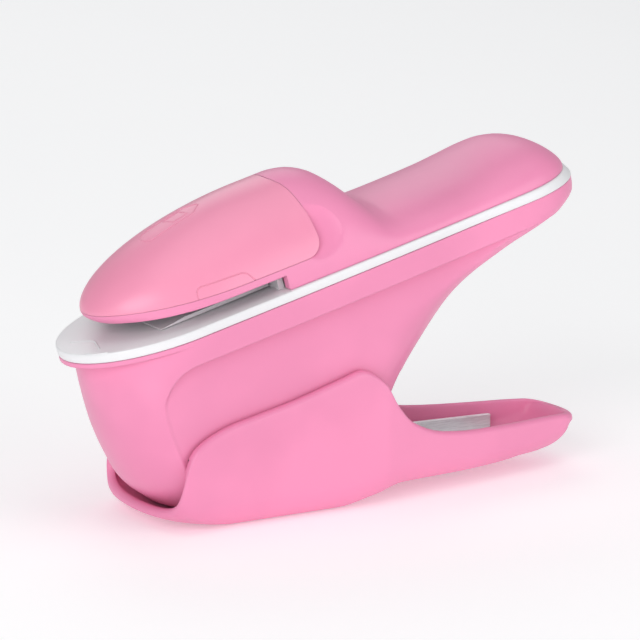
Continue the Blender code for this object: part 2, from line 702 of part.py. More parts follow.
def deck_half(x):
    """Half-width of the deck outline at x."""
    return ((DECK_HALF + bulge(x)) * ease((x - DECK_NOSE) / DECK_NOSE_LEN)
            * ease((DECK_TAIL - x) / DECK_TAIL_LEN, TAIL_POWER))


def deck_outline():
    side_from, side_to = DECK_NOSE + DECK_NOSE_LEN, DECK_TAIL - DECK_TAIL_LEN
    xs = [DECK_NOSE + DECK_NOSE_LEN * (1 - math.cos(math.pi / 2 * i / DECK_NOSE_STEPS))
          for i in range(DECK_NOSE_STEPS + 1)]
    xs += [side_from + (side_to - side_from) * i / DECK_SIDE_STEPS
           for i in range(1, DECK_SIDE_STEPS)]
    xs += [side_to + DECK_TAIL_LEN * math.sin(math.pi / 2 * i / DECK_TAIL_STEPS)
           for i in range(DECK_TAIL_STEPS + 1)]
    half = [(x, -deck_half(x), 0.0) for x in xs]
    half[0], half[-1] = (xs[0], 0.0, 0.0), (xs[-1], 0.0, 0.0)
    return mirror_ring(half)


def deck_solid():
    """The bottom outline is longer than the top one, so the end face slopes."""
    top = deck_outline()
    bottom = []
    for x, y, _ in top:
        lean = DECK_SLOPE * smoothstep((x - 118.0) / (DECK_TAIL - 118.0))
        widen = 1 + 0.02 * smoothstep((x - 105.0) / 20.0)
        bottom.append((x + lean, y * widen, -DECK_THICK))
    return capped_loft([bottom, top])


def build_deck():
    deck = piece("deck_plate", deck_solid(), WHITE, "body", angle=30)
    combine(deck, "paper_stop", box(*PAPER_STOP), "UNION")
    for label, side in SIDES:
        y_range = side_range(side, PLATE_IN - FRAME_SLOT_GAP, PLATE_OUT + FRAME_SLOT_GAP)
        combine(deck, f"deck_frame_slot_{label[0]}", box(FRAME_SLOT_X, y_range, DECK_CUT))
    combine(deck, "deck_window", box(DECK_WINDOW_X, across(DECK_WINDOW_HALF), DECK_CUT))
    for label, x, _ in HANDLE_SCREWS:
        combine(deck, f"deck_hole_{label}", rod(1.9, "z", (x, 0), DECK_CUT, 16))


def build_guide():
    """Ramped plate on the deck with a foot that fills the deck's window."""
    guide = piece("guide_plate", prism(GUIDE_SIDE, across(GUIDE_HALF)), GREY, "body", angle=20)
    combine(guide, "guide_foot", box(*GUIDE_FOOT), "UNION")
    combine(guide, "guide_window", box(*GUIDE_WINDOW))


# ---------------------------------------------------------------- upper shell and head cover
# both are cut from one form, the pod: handle top, hump and head together
HEAD_NOSE, HEAD_NOSE_LEN, HEAD_HALF = 9.6, 33.0, 19.7
HEAD_TOP, HEAD_TOP_LEN = 22.6, 48.0
HEAD_SEAM, NOSE_SEAM = 5.4, 6.4   # height of the cover's lower seam, at the rear and at the nose
POD_TAIL, POD_TAIL_LEN = DECK_TAIL - 0.2, DECK_TAIL_LEN - 0.2
POD_RING_COUNT = 28
SLOT_TOP = 3.75                  # clear height of the paper throat
THROAT_END = 54.0                # x of the paper throat's end

# (x, z) of the pod's top behind the head
hump = smooth_table([
    (57.0, 22.6), (66.0, 22.6), (70.2, 22.0), (74.4, 20.2), (78.2, 16.8), (81.9, 12.2),
    (84.6, 9.2), (89.0, 7.4), (96.0, 7.2), (112.0, 7.6), (119.0, 8.4), (124.0, 9.1),
    (128.0, 9.3), (131.5, 8.8), (134.5, 7.7), (137.0, 6.0), (139.2, 3.7), (140.6, 1.7),
    (141.4, 0.05)])

# ring stations: quarter-turn shares in the nose, x between, quarter-turn shares in the tail
POD_NOSE_SHARES = (0.05, 0.14, 0.24, 0.34, 0.45, 0.57, 0.7, 0.85, 1.0)
POD_XS = [50.0, 57.0, 62.0, 66.0, 69.0, 72.0, 75.0, 78.0, 81.0, 84.0, 87.0, 92.0, 102.0, 113.0]
POD_TAIL_SHARES = (0.0, 0.2, 0.38, 0.55, 0.7, 0.83, 0.93)

# side outline of everything removed beneath the shell, the throat included
POD_UNDER = [(-5, -12), (160, -12), (160, GAP), (THROAT_END, GAP), (THROAT_END, SLOT_TOP),
             (30, SLOT_TOP), (15, SLOT_TOP + 0.5), (-5, SLOT_TOP + 0.6)]
POD_CUT = across(30)             # y range wider than the pod
COVER_REAR, COVER_CORNER_R = 65.3, 4.4
SCOOP_R, SCOOP_SCALE = 15, (0.52, 0.55, 0.80)
SCOOP_X, SCOOP_Y, SCOOP_Z = 66.6, 25.1, 12.6


def pod_top(x, inset):
    """Height of the pod's top line."""
    if x < HEAD_NOSE + HEAD_TOP_LEN:
        along = (x - HEAD_NOSE - inset) / (HEAD_TOP_LEN - inset)
        return NOSE_SEAM + (HEAD_TOP - NOSE_SEAM - inset) * ease(along) ** 1.25
    if inset and 66.0 < x < 92.0:
        return min(hump(x) - inset, hump(x + 0.8 * inset) - 0.45 * inset)
    outer = hump(x + inset * smoothstep((x - 114.0) / 22.0))
    return max(outer - inset * (1 - 0.5 * smoothstep((x - 128.0) / 12.0)), 0.02)


def pod_ring(x, inset):
    """Closed cross-section of the pod at x, inset inside its outer surface."""
    nose_fade = ease((x - HEAD_NOSE - inset) / (HEAD_NOSE_LEN - inset))
    tail_fade = ease((POD_TAIL - inset - x) / (POD_TAIL_LEN - inset), TAIL_POWER)
    width = (HEAD_HALF - inset + bulge(x, 45, 80)) * nose_fade * tail_fade
    centre = NOSE_SEAM * (1 - smoothstep((x - HEAD_NOSE) / 34.0))
    below = (6.5 - inset) * nose_fade * max(tail_fade, 0.05)
    above = max(pod_top(x, inset) - centre, 0.02)
    power = 2.0 + 0.15 * smoothstep((x - 75) / 15)
    ring = []
    for i in range(POD_RING_COUNT):
        angle = 2 * math.pi * i / POD_RING_COUNT - math.pi / 2
        cosine, sine = math.cos(angle), math.sin(angle)
        if sine >= 0:
            y = width * math.copysign(abs(cosine) ** (2 / power), cosine)
            z = centre + above * sine ** (2 / power)
        else:
            y = width * math.copysign(abs(cosine) ** 0.8, cosine)
            z = centre + below * sine
        ring.append((x, y, z))
    return ring


def pod_solid(inset=0.0):
    nose, nose_len = HEAD_NOSE + inset, HEAD_NOSE_LEN - inset
    tail, tail_len = POD_TAIL - inset, POD_TAIL_LEN - inset
    xs = [nose + nose_len * (1 - math.cos(math.pi / 2 * share)) for share in POD_NOSE_SHARES]
    xs += POD_XS
    xs += [tail - tail_len + tail_len * math.sin(math.pi / 2 * share)
           for share in POD_TAIL_SHARES]
    return capped_loft([pod_ring(x, inset) for x in xs])


def cover_region(gap):
    """Side outline of the head cover, grown by gap: lower seam a little higher at the nose,
    rounded rear corner, rear edge leaning forward at the top."""
    seam = HEAD_SEAM + 0.1 - gap
    rear, radius = COVER_REAR + gap, COVER_CORNER_R + gap
    rise = NOSE_SEAM - HEAD_SEAM + 0.15
    points = [(-10.0, seam + rise), (13.0, seam + rise), (20.0, seam + 0.75 * rise),
              (31.0, seam + 0.3 * rise), (46.0, seam), (rear - radius, seam)]
    for i in range(1, 6):
        angle = math.pi / 2 * i / 5
        points.append((rear - radius + radius * math.sin(angle),
                       seam + radius - radius * math.cos(angle)))
    points += [(rear, 14.0), (rear - 0.35, 17.5), (rear - 0.6, 19.7), (rear - 1.2, 21.4),
               (rear - 2.4, 22.5), (rear - 5.0, 24.5), (-10.0, 34.0)]
    return points


def scoop_solid(side):
    """Ellipsoid that hollows one flank of the shell behind the head."""
    bm = bmesh.new()
    bmesh.ops.create_uvsphere(bm, u_segments=24, v_segments=16, radius=SCOOP_R * MM)
    bmesh.ops.scale(bm, vec=SCOOP_SCALE, verts=bm.verts)
    centre = metres(SCOOP_X, side * SCOOP_Y, SCOOP_Z)
    bmesh.ops.translate(bm, vec=centre, verts=bm.verts)
    return bm


def build_upper_shell():
    shell = piece("upper_shell", pod_solid(), PINK, "body")
    combine(shell, "pod_inner", pod_solid(WALL))
    combine(shell, "pod_under", prism(POD_UNDER, POD_CUT))
    combine(shell, "cover_clear", prism(cover_region(GAP), POD_CUT))
    for label, side in SIDES:
        combine(shell, f"finger_scoop_{label[0]}", scoop_solid(side))
    for label, x, _ in HANDLE_SCREWS:
        boss = rod(3.4, "z", (x, 0), (GAP, 6.6), end_radius=3.8)
        combine(shell, f"shell_boss_{label}", boss, "UNION")
        combine(shell, f"shell_bore_{label}", rod(1.8, "z", (x, 0), (-2, 5.4), 16))


def build_head_cover():
    cover = piece("head_cover", pod_solid(), GLOSS, "cover")
    combine(cover, "cover_inner", pod_solid(WALL - 0.2))
    combine(cover, "cover_keep", prism(cover_region(0.0), POD_CUT), "INTERSECT")


# ---------------------------------------------------------------- inside the head
LINER_FRONT, LINER_REAR, LINER_STEPS = 15.6, 54.9, 16
LINER_HALF = HEAD_HALF - 3.3
LINER_Z = (3.9, 5.1)
LINER_WINDOW = ((30.0, 56.0), across(4.8), (2, 8))
DIE_SIDE = [(30.5, 4.1), (54.0, 4.1), (54.0, 9.6), (30.5, 9.6)]
DIE_HALF = 4.4
DIE_WINDOW = ((33.6, 50.2), across(3.9), (2, 12))
DIE_PIN_HEAD_R = 1.6


def build_head_liner():
    """Plate that closes the underside of the head."""
    outline = []
    for i in range(LINER_STEPS + 1):
        share = 1 - math.cos(math.pi / 2 * i / LINER_STEPS)
        x = LINER_FRONT + (LINER_REAR - LINER_FRONT) * share
        outline.append((x, -LINER_HALF * ease((x - 15.2) / 32.0)))
    outline += [(x, -y) for x, y in reversed(outline)]
    liner = piece("head_liner", slab(outline, LINER_Z), GREY, "body", angle=30)
    combine(liner, "liner_window", box(*LINER_WINDOW))


def build_die():
    """Block above the paper, with the window that the cutters enter, and its two pins."""
    die = piece("head_die", prism(DIE_SIDE, across(DIE_HALF)), BLADE, "body")
    combine(die, "die_window", box(*DIE_WINDOW))
    pin = both_ends([(0, 6.7), (DIE_PIN_HEAD_R, 6.7), (DIE_PIN_HEAD_R, 6.2), (DIE_PIN_R, 6.2)])
    for label, x, z in DIE_PINS:
        combine(die, f"die_hole_{label}", rod(DIE_PIN_R + GAP, "y", (x, z), across(8), 16))
        turned(f"die_pin_{label}", pin, "body", "y", (x, z), steps=16)


# ---------------------------------------------------------------- steel frame
# (x, z) outline of the C-shaped plates, open to the front around the deck and the paper
FRAME_OUTLINE = [
    (21.0, -36.0), (21.0, -32.5), (25.0, -22.0), (25.0, -5.5), (57.2, -5.5), (57.2, 5.5),
    (28.0, 5.5), (28.0, 9.5), (35.0, 13.2), (70.0, 14.2), (74.0, 10.5), (74.0, -35.0),
    (70.0, -39.6), (53.4, -39.6), (53.4, -27.0), (48.0, -27.0), (48.0, -39.6), (24.0, -39.6)]
# name, x and z
SPACERS = (("front", 29.5, -22.0), ("rear", 69.5, -12.0), ("top", 66.0, 9.0))
SPACER_BODY_R, SPACER_BODY_HALF, SPACER_REACH = 2.6, 4.4, 6.1
SEAT_X, SEAT_HALF, SEAT_Z = (58.5, 69.5), 4.4, (-27.0, -24.0)
LUG_X, LUG_HALF, LUG_Z = (62.0, 66.0), 6.1, (SEAT_Z[0] + 0.4, SEAT_Z[1] - 0.4)


def build_frame_plates():
    holes = [("pivot", *PIVOT, PIVOT_PIN_R)]
    holes += [(label, x, z, SPACER_R) for label, x, z in SPACERS]
    holes += [(f"die_{label}", x, z, DIE_PIN_R) for label, x, z in DIE_PINS]
    slot_x = (LUG_X[0] - GAP, LUG_X[1] + GAP)
    slot_z = (LUG_Z[0] - GAP, LUG_Z[1] + GAP)
    for label, side in SIDES:
        body = prism(FRAME_OUTLINE, side_range(side, PLATE_IN, PLATE_OUT))
        plate = piece(f"frame_plate_{label}", body, PLATED, "body", angle=25)
        for hole, x, z, radius in holes:
            bore = rod(radius + GAP, "y", (x, z), across(8), 18)
            combine(plate, f"plate_{label}_{hole}_hole", bore)
        combine(plate, f"plate_{label}_seat_slot", box(slot_x, across(9), slot_z))


def build_frame_spacers():
    profile = both_ends([(0, SPACER_REACH), (SPACER_R, SPACER_REACH),
                         (SPACER_R, SPACER_BODY_HALF), (SPACER_BODY_R, SPACER_BODY_HALF)])
    for label, x, z in SPACERS:
        turned(f"frame_spacer_{label}", profile, "body", "y", (x, z), steps=18)


def build_spring_seat():
    """Block between the plates, held by lugs in their slots."""
    seat = piece("spring_seat", box(SEAT_X, across(SEAT_HALF), SEAT_Z), PLATED, "body")
    combine(seat, "seat_lugs", box(LUG_X, across(LUG_HALF), LUG_Z), "UNION")


# ---------------------------------------------------------------- punch set
PUNCH_CUT = across(6)            # y range of the helpers that cut right across the punch set
CARRIAGE_SIDE = [(32.6, -15.0), (32.6, -21.0), (46.2, -39.2), (54.6, -39.2), (54.6, -15.0)]
CARRIAGE_HALF = 4.3
DRIVE_SLOT_X = (48.3, 52.8)
DRIVE_SLOT_LOW, DRIVE_SLOT_HIGH = DRIVE[1] - DRIVE_PIN_R - GAP, DRIVE[1] + DRIVE_PIN_R + GAP
SPACER_ROOM = ((24, 40.5), PUNCH_CUT, (-42, -26.0))
CUTTER_BLOCK = ((34.4, 45.6), across(3.6), (-14.7, -1.2))
CUTTER_HOLLOW = ((35.6, 47.0), across(2.4), (-13.3, 0.5))
CUTTER_RAKE = [(33.0, -2.6), (46.6, -0.4), (46.6, 1.5), (33.0, 1.5)]
BLADE_SIDE = [(47.7, -14.7), (48.9, -14.7), (48.9, -2.2), (48.3, -1.2), (47.7, -2.2)]
BLADE_HALF = 3.4
BLADE_EYE = ((46, 50), across(2.0), (-8.6, -5.2))
FINGER_SIDE = [(37.7, -12.6), (40.3, -12.6), (40.3, -9.0), (39.8, -4.4), (39.2, -3.2),
               (38.2, -3.2), (37.7, -9.0)]
FINGER_HALF = 2.0


def build_carriage():
    carriage = piece("punch_carriage", prism(CARRIAGE_SIDE, across(CARRIAGE_HALF)),
                     PLATED, "punch")
    left, right = DRIVE_SLOT_X
    slot = [(left, DRIVE_SLOT_LOW), (right, DRIVE_SLOT_LOW),
            (right, DRIVE_SLOT_HIGH), (left, DRIVE_SLOT_HIGH)]
    combine(carriage, "drive_slot", prism(slot, PUNCH_CUT))
    combine(carriage, "spacer_room", box(*SPACER_ROOM))


def finger_pin_bore():
    return rod(FINGER_PIN_R + GAP, "y", FINGER_AXIS, PUNCH_CUT, 16)


def build_tab_cutter():
    cutter = piece("tab_cutter", box(*CUTTER_BLOCK), BLADE, "punch")
    combine(cutter, "cutter_hollow", box(*CUTTER_HOLLOW))
    combine(cutter, "cutter_rake", prism(CUTTER_RAKE, PUNCH_CUT))
    combine(cutter, "cutter_pin_hole", finger_pin_bore())


def build_slit_blade():
    blade = piece("slit_blade", prism(BLADE_SIDE, across(BLADE_HALF)), BLADE, "punch")
    combine(blade, "blade_eye", box(*BLADE_EYE))


def build_finger():
    """The tucking finger and the pin it swings on."""
    pin = both_ends([(0, 4.1), (FINGER_PIN_R - 0.25, 4.1), (FINGER_PIN_R, 3.85)])
    turned("finger_pin", pin, "punch", "y", FINGER_AXIS, steps=16)
    finger = piece("tab_finger", prism(FINGER_SIDE, across(FINGER_HALF)), BLADE, "finger")
    combine(finger, "finger_bore", finger_pin_bore())


# ---------------------------------------------------------------- assembly
build_lever_shell()
build_lever_channel()
build_lever_screws()
build_pin_with_clips("pivot_pin", "pivot_clip", (PIVOT_X, PIVOT_Z), PIVOT_PIN_R,
                     reach=9.7, groove=0.8)
build_pin_with_clips("drive_pin", "drive_pin_clip", (DRIVE_X, DRIVE_Z), DRIVE_PIN_R,
                     reach=9.5, groove=0.7)
build_return_spring()
build_hull()
build_handle_screws()
build_deck()
build_guide()
build_upper_shell()
build_head_cover()
build_head_liner()
build_die()
build_frame_plates()
build_frame_spacers()
build_spring_seat()
build_carriage()
build_tab_cutter()
build_slit_blade()
build_finger()

bpy.context.view_layer.update()
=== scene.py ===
"""Looks of a hand-held staple-free stapler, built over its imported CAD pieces.

Lengths are millimetres, turned into metres when vertices are placed. X runs from the nose to the
tail, -Y is the near side and Z is up. The body (hull, deck, upper shell, head cover) has its own
frame, tilted tail-up about Y, with z = 0 on the deck's top surface. The squeeze lever below it
and the spring lie in the world frame. The moulded shells are made here as fine skins; the small
steel pieces keep their CAD meshes and only get a material.
"""
import math

import bmesh
import bpy
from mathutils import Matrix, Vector


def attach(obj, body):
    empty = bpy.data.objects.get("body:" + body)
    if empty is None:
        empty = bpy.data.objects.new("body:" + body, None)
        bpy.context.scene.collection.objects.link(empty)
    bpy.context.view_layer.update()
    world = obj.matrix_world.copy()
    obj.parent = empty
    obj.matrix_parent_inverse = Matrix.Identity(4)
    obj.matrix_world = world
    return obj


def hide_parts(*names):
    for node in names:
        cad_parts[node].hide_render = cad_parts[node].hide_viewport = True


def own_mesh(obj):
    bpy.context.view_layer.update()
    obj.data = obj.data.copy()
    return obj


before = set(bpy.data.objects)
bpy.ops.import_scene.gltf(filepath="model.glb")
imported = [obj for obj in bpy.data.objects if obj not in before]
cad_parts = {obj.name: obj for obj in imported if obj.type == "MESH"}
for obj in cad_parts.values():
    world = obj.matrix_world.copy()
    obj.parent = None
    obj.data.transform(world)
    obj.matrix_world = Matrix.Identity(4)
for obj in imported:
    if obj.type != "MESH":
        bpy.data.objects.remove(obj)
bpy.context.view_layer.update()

MM = 0.001
BODY_TILT = math.radians(14.3)
BODY_ORIGIN = (-49.9, 43.68)      # world X and Z of the body frame's origin

# Sizes shared by several pieces
WALL = 2.2                        # moulded wall thickness
SEAT = 0.06                       # hairline between the upper shell and the deck
BOSS_GAP = 0.3                    # clearance between the shell's screw bosses and the deck
DECK_NOSE, DECK_NOSE_LEN = 1.5, 28.0
DECK_HALF = 20.4
DECK_BULGE = 0.6                  # the long sides bow outwards by this much
DECK_TAIL, DECK_TAIL_LEN = 141.6, 20.6
TAIL_POWER = 2.5                  # superellipse power of the rounded tail
HANDLE_SCREWS = ((108.0, -17.6), (124.0, -13.6))     # x, z of the hull boss's lower reference


# ------------------------------------------------------------------ small maths helpers
def smooth_table(points):
    """Monotone cubic curve through (station, value) pairs, held level beyond its ends."""
    xs, ys = zip(*points)
    slopes = [(ys[i + 1] - ys[i]) / (xs[i + 1] - xs[i]) for i in range(len(xs) - 1)]
    tangents = [slopes[0]]
    for before, after in zip(slopes, slopes[1:]):
        turning = before * after <= 0
        tangents.append(0.0 if turning else 2 * before * after / (before + after))
    tangents.append(slopes[-1])

    def value(x):
        x = min(max(x, xs[0]), xs[-1])
        i = max(k for k in range(len(slopes)) if xs[k] <= x)
        span = xs[i + 1] - xs[i]
        t = (x - xs[i]) / span
        return ((1 + 2 * t) * (1 - t) ** 2 * ys[i] + t * (1 - t) ** 2 * span * tangents[i]
                + t * t * (3 - 2 * t) * ys[i + 1] + t * t * (t - 1) * span * tangents[i + 1])
    return value


def clamp01(t):
    return min(max(t, 0.0), 1.0)


def step01(t):
    """Smooth step from 0 to 1."""
    t = clamp01(t)
    return t * t * (3 - 2 * t)


def ease(t, power=2.0):
    """Quarter superellipse, rising steeply from 0 and levelling off at 1."""
    return max(0.0, 1 - (1 - clamp01(t)) ** power) ** (1 / power)


def bulge(x, start=30, length=90):
    """Outward bow of the long sides at station x."""
    return DECK_BULGE * math.sin(math.pi * clamp01((x - start) / length))


def quarter(k, count):
    """Angle of step k when a quarter turn is split into count steps."""
    return math.pi / 2 * k / count


def round_path(points, radius, steps=5):
    """Rounds the inner corners of an open polyline."""
    out = [points[0]]
    for before, corner, after in zip(points, points[1:], points[2:]):
        before, corner, after = Vector(before), Vector(corner), Vector(after)
        reach = min(radius, (before - corner).length * 0.45, (after - corner).length * 0.45)
        start = corner + (before - corner).normalized() * reach
        end = corner + (after - corner).normalized() * reach
        for k in range(steps + 1):
            t = k / steps
            out.append(tuple((1 - t) ** 2 * start + 2 * t * (1 - t) * corner + t * t * end))
    out.append(points[-1])
    return out


def densify(points, step):
    """Adds points along a polyline so that no span is longer than step."""
    out = [points[0]]
    for start, end in zip(points, points[1:]):
        count = max(1, int(math.ceil(math.dist(start, end) / step)))
        out += [tuple(a + (b - a) * k / count for a, b in zip(start, end))
                for k in range(1, count + 1)]
    return out


# ------------------------------------------------------------------ mesh helpers
def in_body(x, y, z):
    """Body-frame point (mm) as a world point (m)."""
    cosine, sine = math.cos(BODY_TILT), math.sin(BODY_TILT)
    world_x = BODY_ORIGIN[0] + x * cosine - z * sine
    world_z = BODY_ORIGIN[1] + x * sine + z * cosine
    return (world_x * MM, y * MM, world_z * MM)


def in_world(x, y, z):
    """World-frame point (mm) in metres."""
    return (x * MM, y * MM, z * MM)


def shade(mesh, angle):
    """Smooth shading with sharp edges above an angle in degrees."""
    mesh.shade_smooth()
    mesh.set_sharp_from_angle(angle=math.radians(angle))


def new_object(name, bm, angle=32.0):
    bmesh.ops.recalc_face_normals(bm, faces=bm.faces)
    mesh = bpy.data.meshes.new(name)
    bm.to_mesh(mesh)
    bm.free()
    shade(mesh, angle)
    obj = bpy.data.objects.new(name, mesh)
    bpy.context.scene.collection.objects.link(obj)
    return obj


def mirror_ring(half):
    """Full ring from a half outline, whose two ends are put on the middle plane."""
    half = list(half)
    for end in (0, -1):
        x, _, z = half[end]
        half[end] = (x, 0.0, z)
    return half + [(x, -y, z) for x, y, z in reversed(half[1:-1])]


def skin(rings, place=in_body, closed=False, caps=False, ladder_ends=False):
    """Faces between rings of equal length.

    closed joins the last ring to the first, caps closes both end rings with one face each, and
    ladder_ends closes them with rungs between the mirrored halves.
    """
    bm = bmesh.new()
    rows = [[bm.verts.new(place(*point)) for point in ring] for ring in rings]
    pairs = list(zip(rows, rows[1:])) + ([(rows[-1], rows[0])] if closed else [])
    for row, other in pairs:
        for i in range(len(row)):
            j = (i + 1) % len(row)
            bm.faces.new((row[i], row[j], other[j], other[i]))
    if caps:
        bm.faces.new(rows[0])
        bm.faces.new(list(reversed(rows[-1])))
    if ladder_ends:
        for row in (rows[0], rows[-1]):
            count = len(row)
            for i in range(count // 2):
                rung = []
                for vert in (row[i], row[i + 1], row[count - i - 1], row[(count - i) % count]):
                    if vert not in rung:
                        rung.append(vert)
                bm.faces.new(rung)
        bmesh.ops.remove_doubles(bm, verts=bm.verts, dist=1e-7)
    return bm


def prism(outline, y0, y1):
    """Body-frame x-z outline extruded across y."""
    return skin([[(x, y, z) for x, z in outline] for y in (y0, y1)], caps=True)


def box(x0, x1, y0, y1, z0, z1):
    return prism([(x0, z0), (x1, z0), (x1, z1), (x0, z1)], y0, y1)


def upright_rod(x, radii, z0, z1, segments=32, place=in_body):
    """Rod along z on the middle plane, with its lower and upper radius."""
    angles = [2 * math.pi * k / segments for k in range(segments)]
    return skin([[(x + radius * math.cos(a), radius * math.sin(a), z) for a in angles]
                 for radius, z in zip(radii, (z0, z1))], place, caps=True)


def bead(points, radius, loop=False, segments=8):
    """Round bead along a body-frame path; an open one is thinner at its ends."""
    points = [Vector(point) for point in points]
    last = len(points) - 1
    angles = [2 * math.pi * k / segments for k in range(segments)]
    rings = []
    for i, point in enumerate(points):
        if loop:
            along = (points[(i + 1) % len(points)] - points[i - 1]).normalized()
        else:
            along = (points[min(i + 1, last)] - points[max(i - 1, 0)]).normalized()
        up = Vector((0, 0, 1)) if abs(along.z) < 0.9 else Vector((0, 1, 0))
        side = along.cross(up).normalized()
        over = along.cross(side).normalized()
        reach = radius * (0.45 if not loop and i in (0, last) else 1.0)
        rings.append([tuple(point + reach * (math.cos(a) * side + math.sin(a) * over))
                      for a in angles])
    return skin(rings, closed=loop, caps=not loop)


def carve(obj, cuts, angle=32.0):
    """Applies booleans in turn: cuts is a list of (bmesh, operation)."""
    helpers = []
    for i, (bm, operation) in enumerate(cuts):
        helper = new_object(f"helper_{obj.name}_{i}", bm)
        helpers.append(helper)
        modifier = obj.modifiers.new(f"cut_{i}", "BOOLEAN")
        modifier.operation = operation
        modifier.object = helper
        modifier.solver = "EXACT"
    graph = bpy.context.evaluated_depsgraph_get()
    mesh = bpy.data.meshes.new_from_object(obj.evaluated_get(graph))
    obj.modifiers.clear()
    old = obj.data
    obj.data = mesh
    bpy.data.meshes.remove(old)
    shade(mesh, angle)
    for helper in helpers:
        data = helper.data
        bpy.data.objects.remove(helper, do_unlink=True)
        bpy.data.meshes.remove(data)


# ------------------------------------------------------------------ materials
class Finish:
    """A material and short ways to add nodes to its tree."""

    def __init__(self, name):
        self.mat = bpy.data.materials.new(name)
        self.mat.use_nodes = True
        self.tree = self.mat.node_tree
        self.shader = self.tree.nodes["Principled BSDF"]

    def feed(self, node, inputs):
        """Links sockets, or sets plain values, on the inputs named or numbered in a dict."""
        for key, value in inputs.items():
            if isinstance(value, bpy.types.NodeSocket):
                self.tree.links.new(value, node.inputs[key])
            else:
                node.inputs[key].default_value = value

    def node(self, kind, inputs=(), **settings):
        node = self.tree.nodes.new("ShaderNode" + kind)
        for key, value in settings.items():
            setattr(node, key, value)
        self.feed(node, dict(inputs))
        return node

    def object_coords(self):
        return self.node("TexCoord").outputs["Object"]

    def noise(self, coords, scale, detail=4.0, rough=0.55, stretch=None):
        if stretch:
            mapping = self.node("Mapping", {"Scale": stretch, "Vector": coords})
            coords = mapping.outputs["Vector"]
        return self.node("TexNoise", {"Scale": scale, "Detail": detail, "Roughness": rough,
                                      "Vector": coords}).outputs["Fac"]

    def ramp(self, value, between, to=(0.0, 1.0)):
        """Smooth step of value from one range to another."""
        return self.node("MapRange", {"From Min": between[0], "From Max": between[1],
                                      "To Min": to[0], "To Max": to[1], "Value": value},
                         interpolation_type="SMOOTHSTEP").outputs["Result"]

    def times(self, a, b):
        return self.node("Math", {0: a, 1: b}, operation="MULTIPLY").outputs[0]

    def plus(self, a, b):
        return self.node("Math", {0: a, 1: b}, operation="ADD").outputs[0]

    def mix(self, factor, a, b):
        return self.node("Mix", {0: factor, 6: a, 7: b}, data_type="RGBA").outputs[2]

    def tint(self, base, colour, mask, amount):
        return self.mix(self.times(mask, amount), base, colour)

    def bump(self, height, normal, strength, distance):
        return self.node("Bump", {"Strength": strength, "Distance": distance, "Height": height,
                                  "Normal": normal}).outputs["Normal"]

    def rounded_edges(self, edge):
        """Normal with edges rounded to a radius in mm, and a mask that is 1 on those edges."""
        normal = self.node("Bevel", {"Radius": edge * MM}, samples=4).outputs["Normal"]
        face = self.node("NewGeometry").outputs["Normal"]
        dot = self.node("VectorMath", {0: face, 1: normal}, operation="DOT_PRODUCT")
        return normal, self.ramp(dot.outputs["Value"], between=(0.985, 0.88))


def rgba(colour, gain, lift=0.0):
    return tuple(min(1.0, v * gain + lift) for v in colour) + (1.0,)


def plastic(name, colour, rough, edge, coat, grain_depth=0.035, tint=0.05):
    """Moulded plastic: fine grain, faint flow streaks, rough patches, specks, paler edges."""
    f = Finish(name)
    coords = f.object_coords()
    normal, wear = f.rounded_edges(edge)
    cloud = f.noise(coords, scale=28.0, detail=3.0, rough=0.5)
    streak = f.noise(coords, scale=16.0, detail=2.0, rough=0.6, stretch=(1.0, 3.0, 2.0))
    grain = f.noise(coords, scale=2600.0, detail=2.0, rough=0.6)
    speck = f.noise(coords, scale=900.0, detail=3.0, rough=0.7)
    scuff = f.noise(coords, scale=240.0, detail=6.0, rough=0.7, stretch=(1.0, 1.0, 0.35))

    dark = rgba(colour, gain=1 - tint)
    light = rgba(colour, gain=1 + tint * 0.6, lift=0.008)
    base = f.mix(f.ramp(cloud, between=(0.35, 0.65)), dark, light)
    base = f.tint(base, light, f.ramp(streak, between=(0.55, 0.8)), amount=0.18)
    base = f.tint(base, rgba(colour, gain=0.7), f.ramp(speck, between=(0.70, 0.78)), amount=0.10)
    worn = f.times(wear, f.ramp(scuff, between=(0.35, 0.65), to=(0.35, 1.0)))
    base = f.tint(base, rgba(colour, gain=0.62, lift=0.36), worn, amount=0.22)

    patches = f.ramp(cloud, between=(0.3, 0.7), to=(rough - 0.04, rough + 0.05))
    scuffed = 0.08                # roughness added in the scuffs
    roughness = f.plus(patches, f.times(f.ramp(scuff, between=(0.58, 0.75)), scuffed))
    normal = f.bump(grain, normal, strength=grain_depth, distance=0.00012)
    waves = f.noise(coords, scale=60.0, detail=2.0, rough=0.5)
    normal = f.bump(waves, normal, strength=0.05, distance=0.0008)
    f.feed(f.shader, {"Base Color": base, "Roughness": roughness, "Normal": normal, "IOR": 1.5,
                      "Coat Weight": coat, "Coat Roughness": 0.22})
    f.mat.diffuse_color = (*colour, 1)
    return f.mat


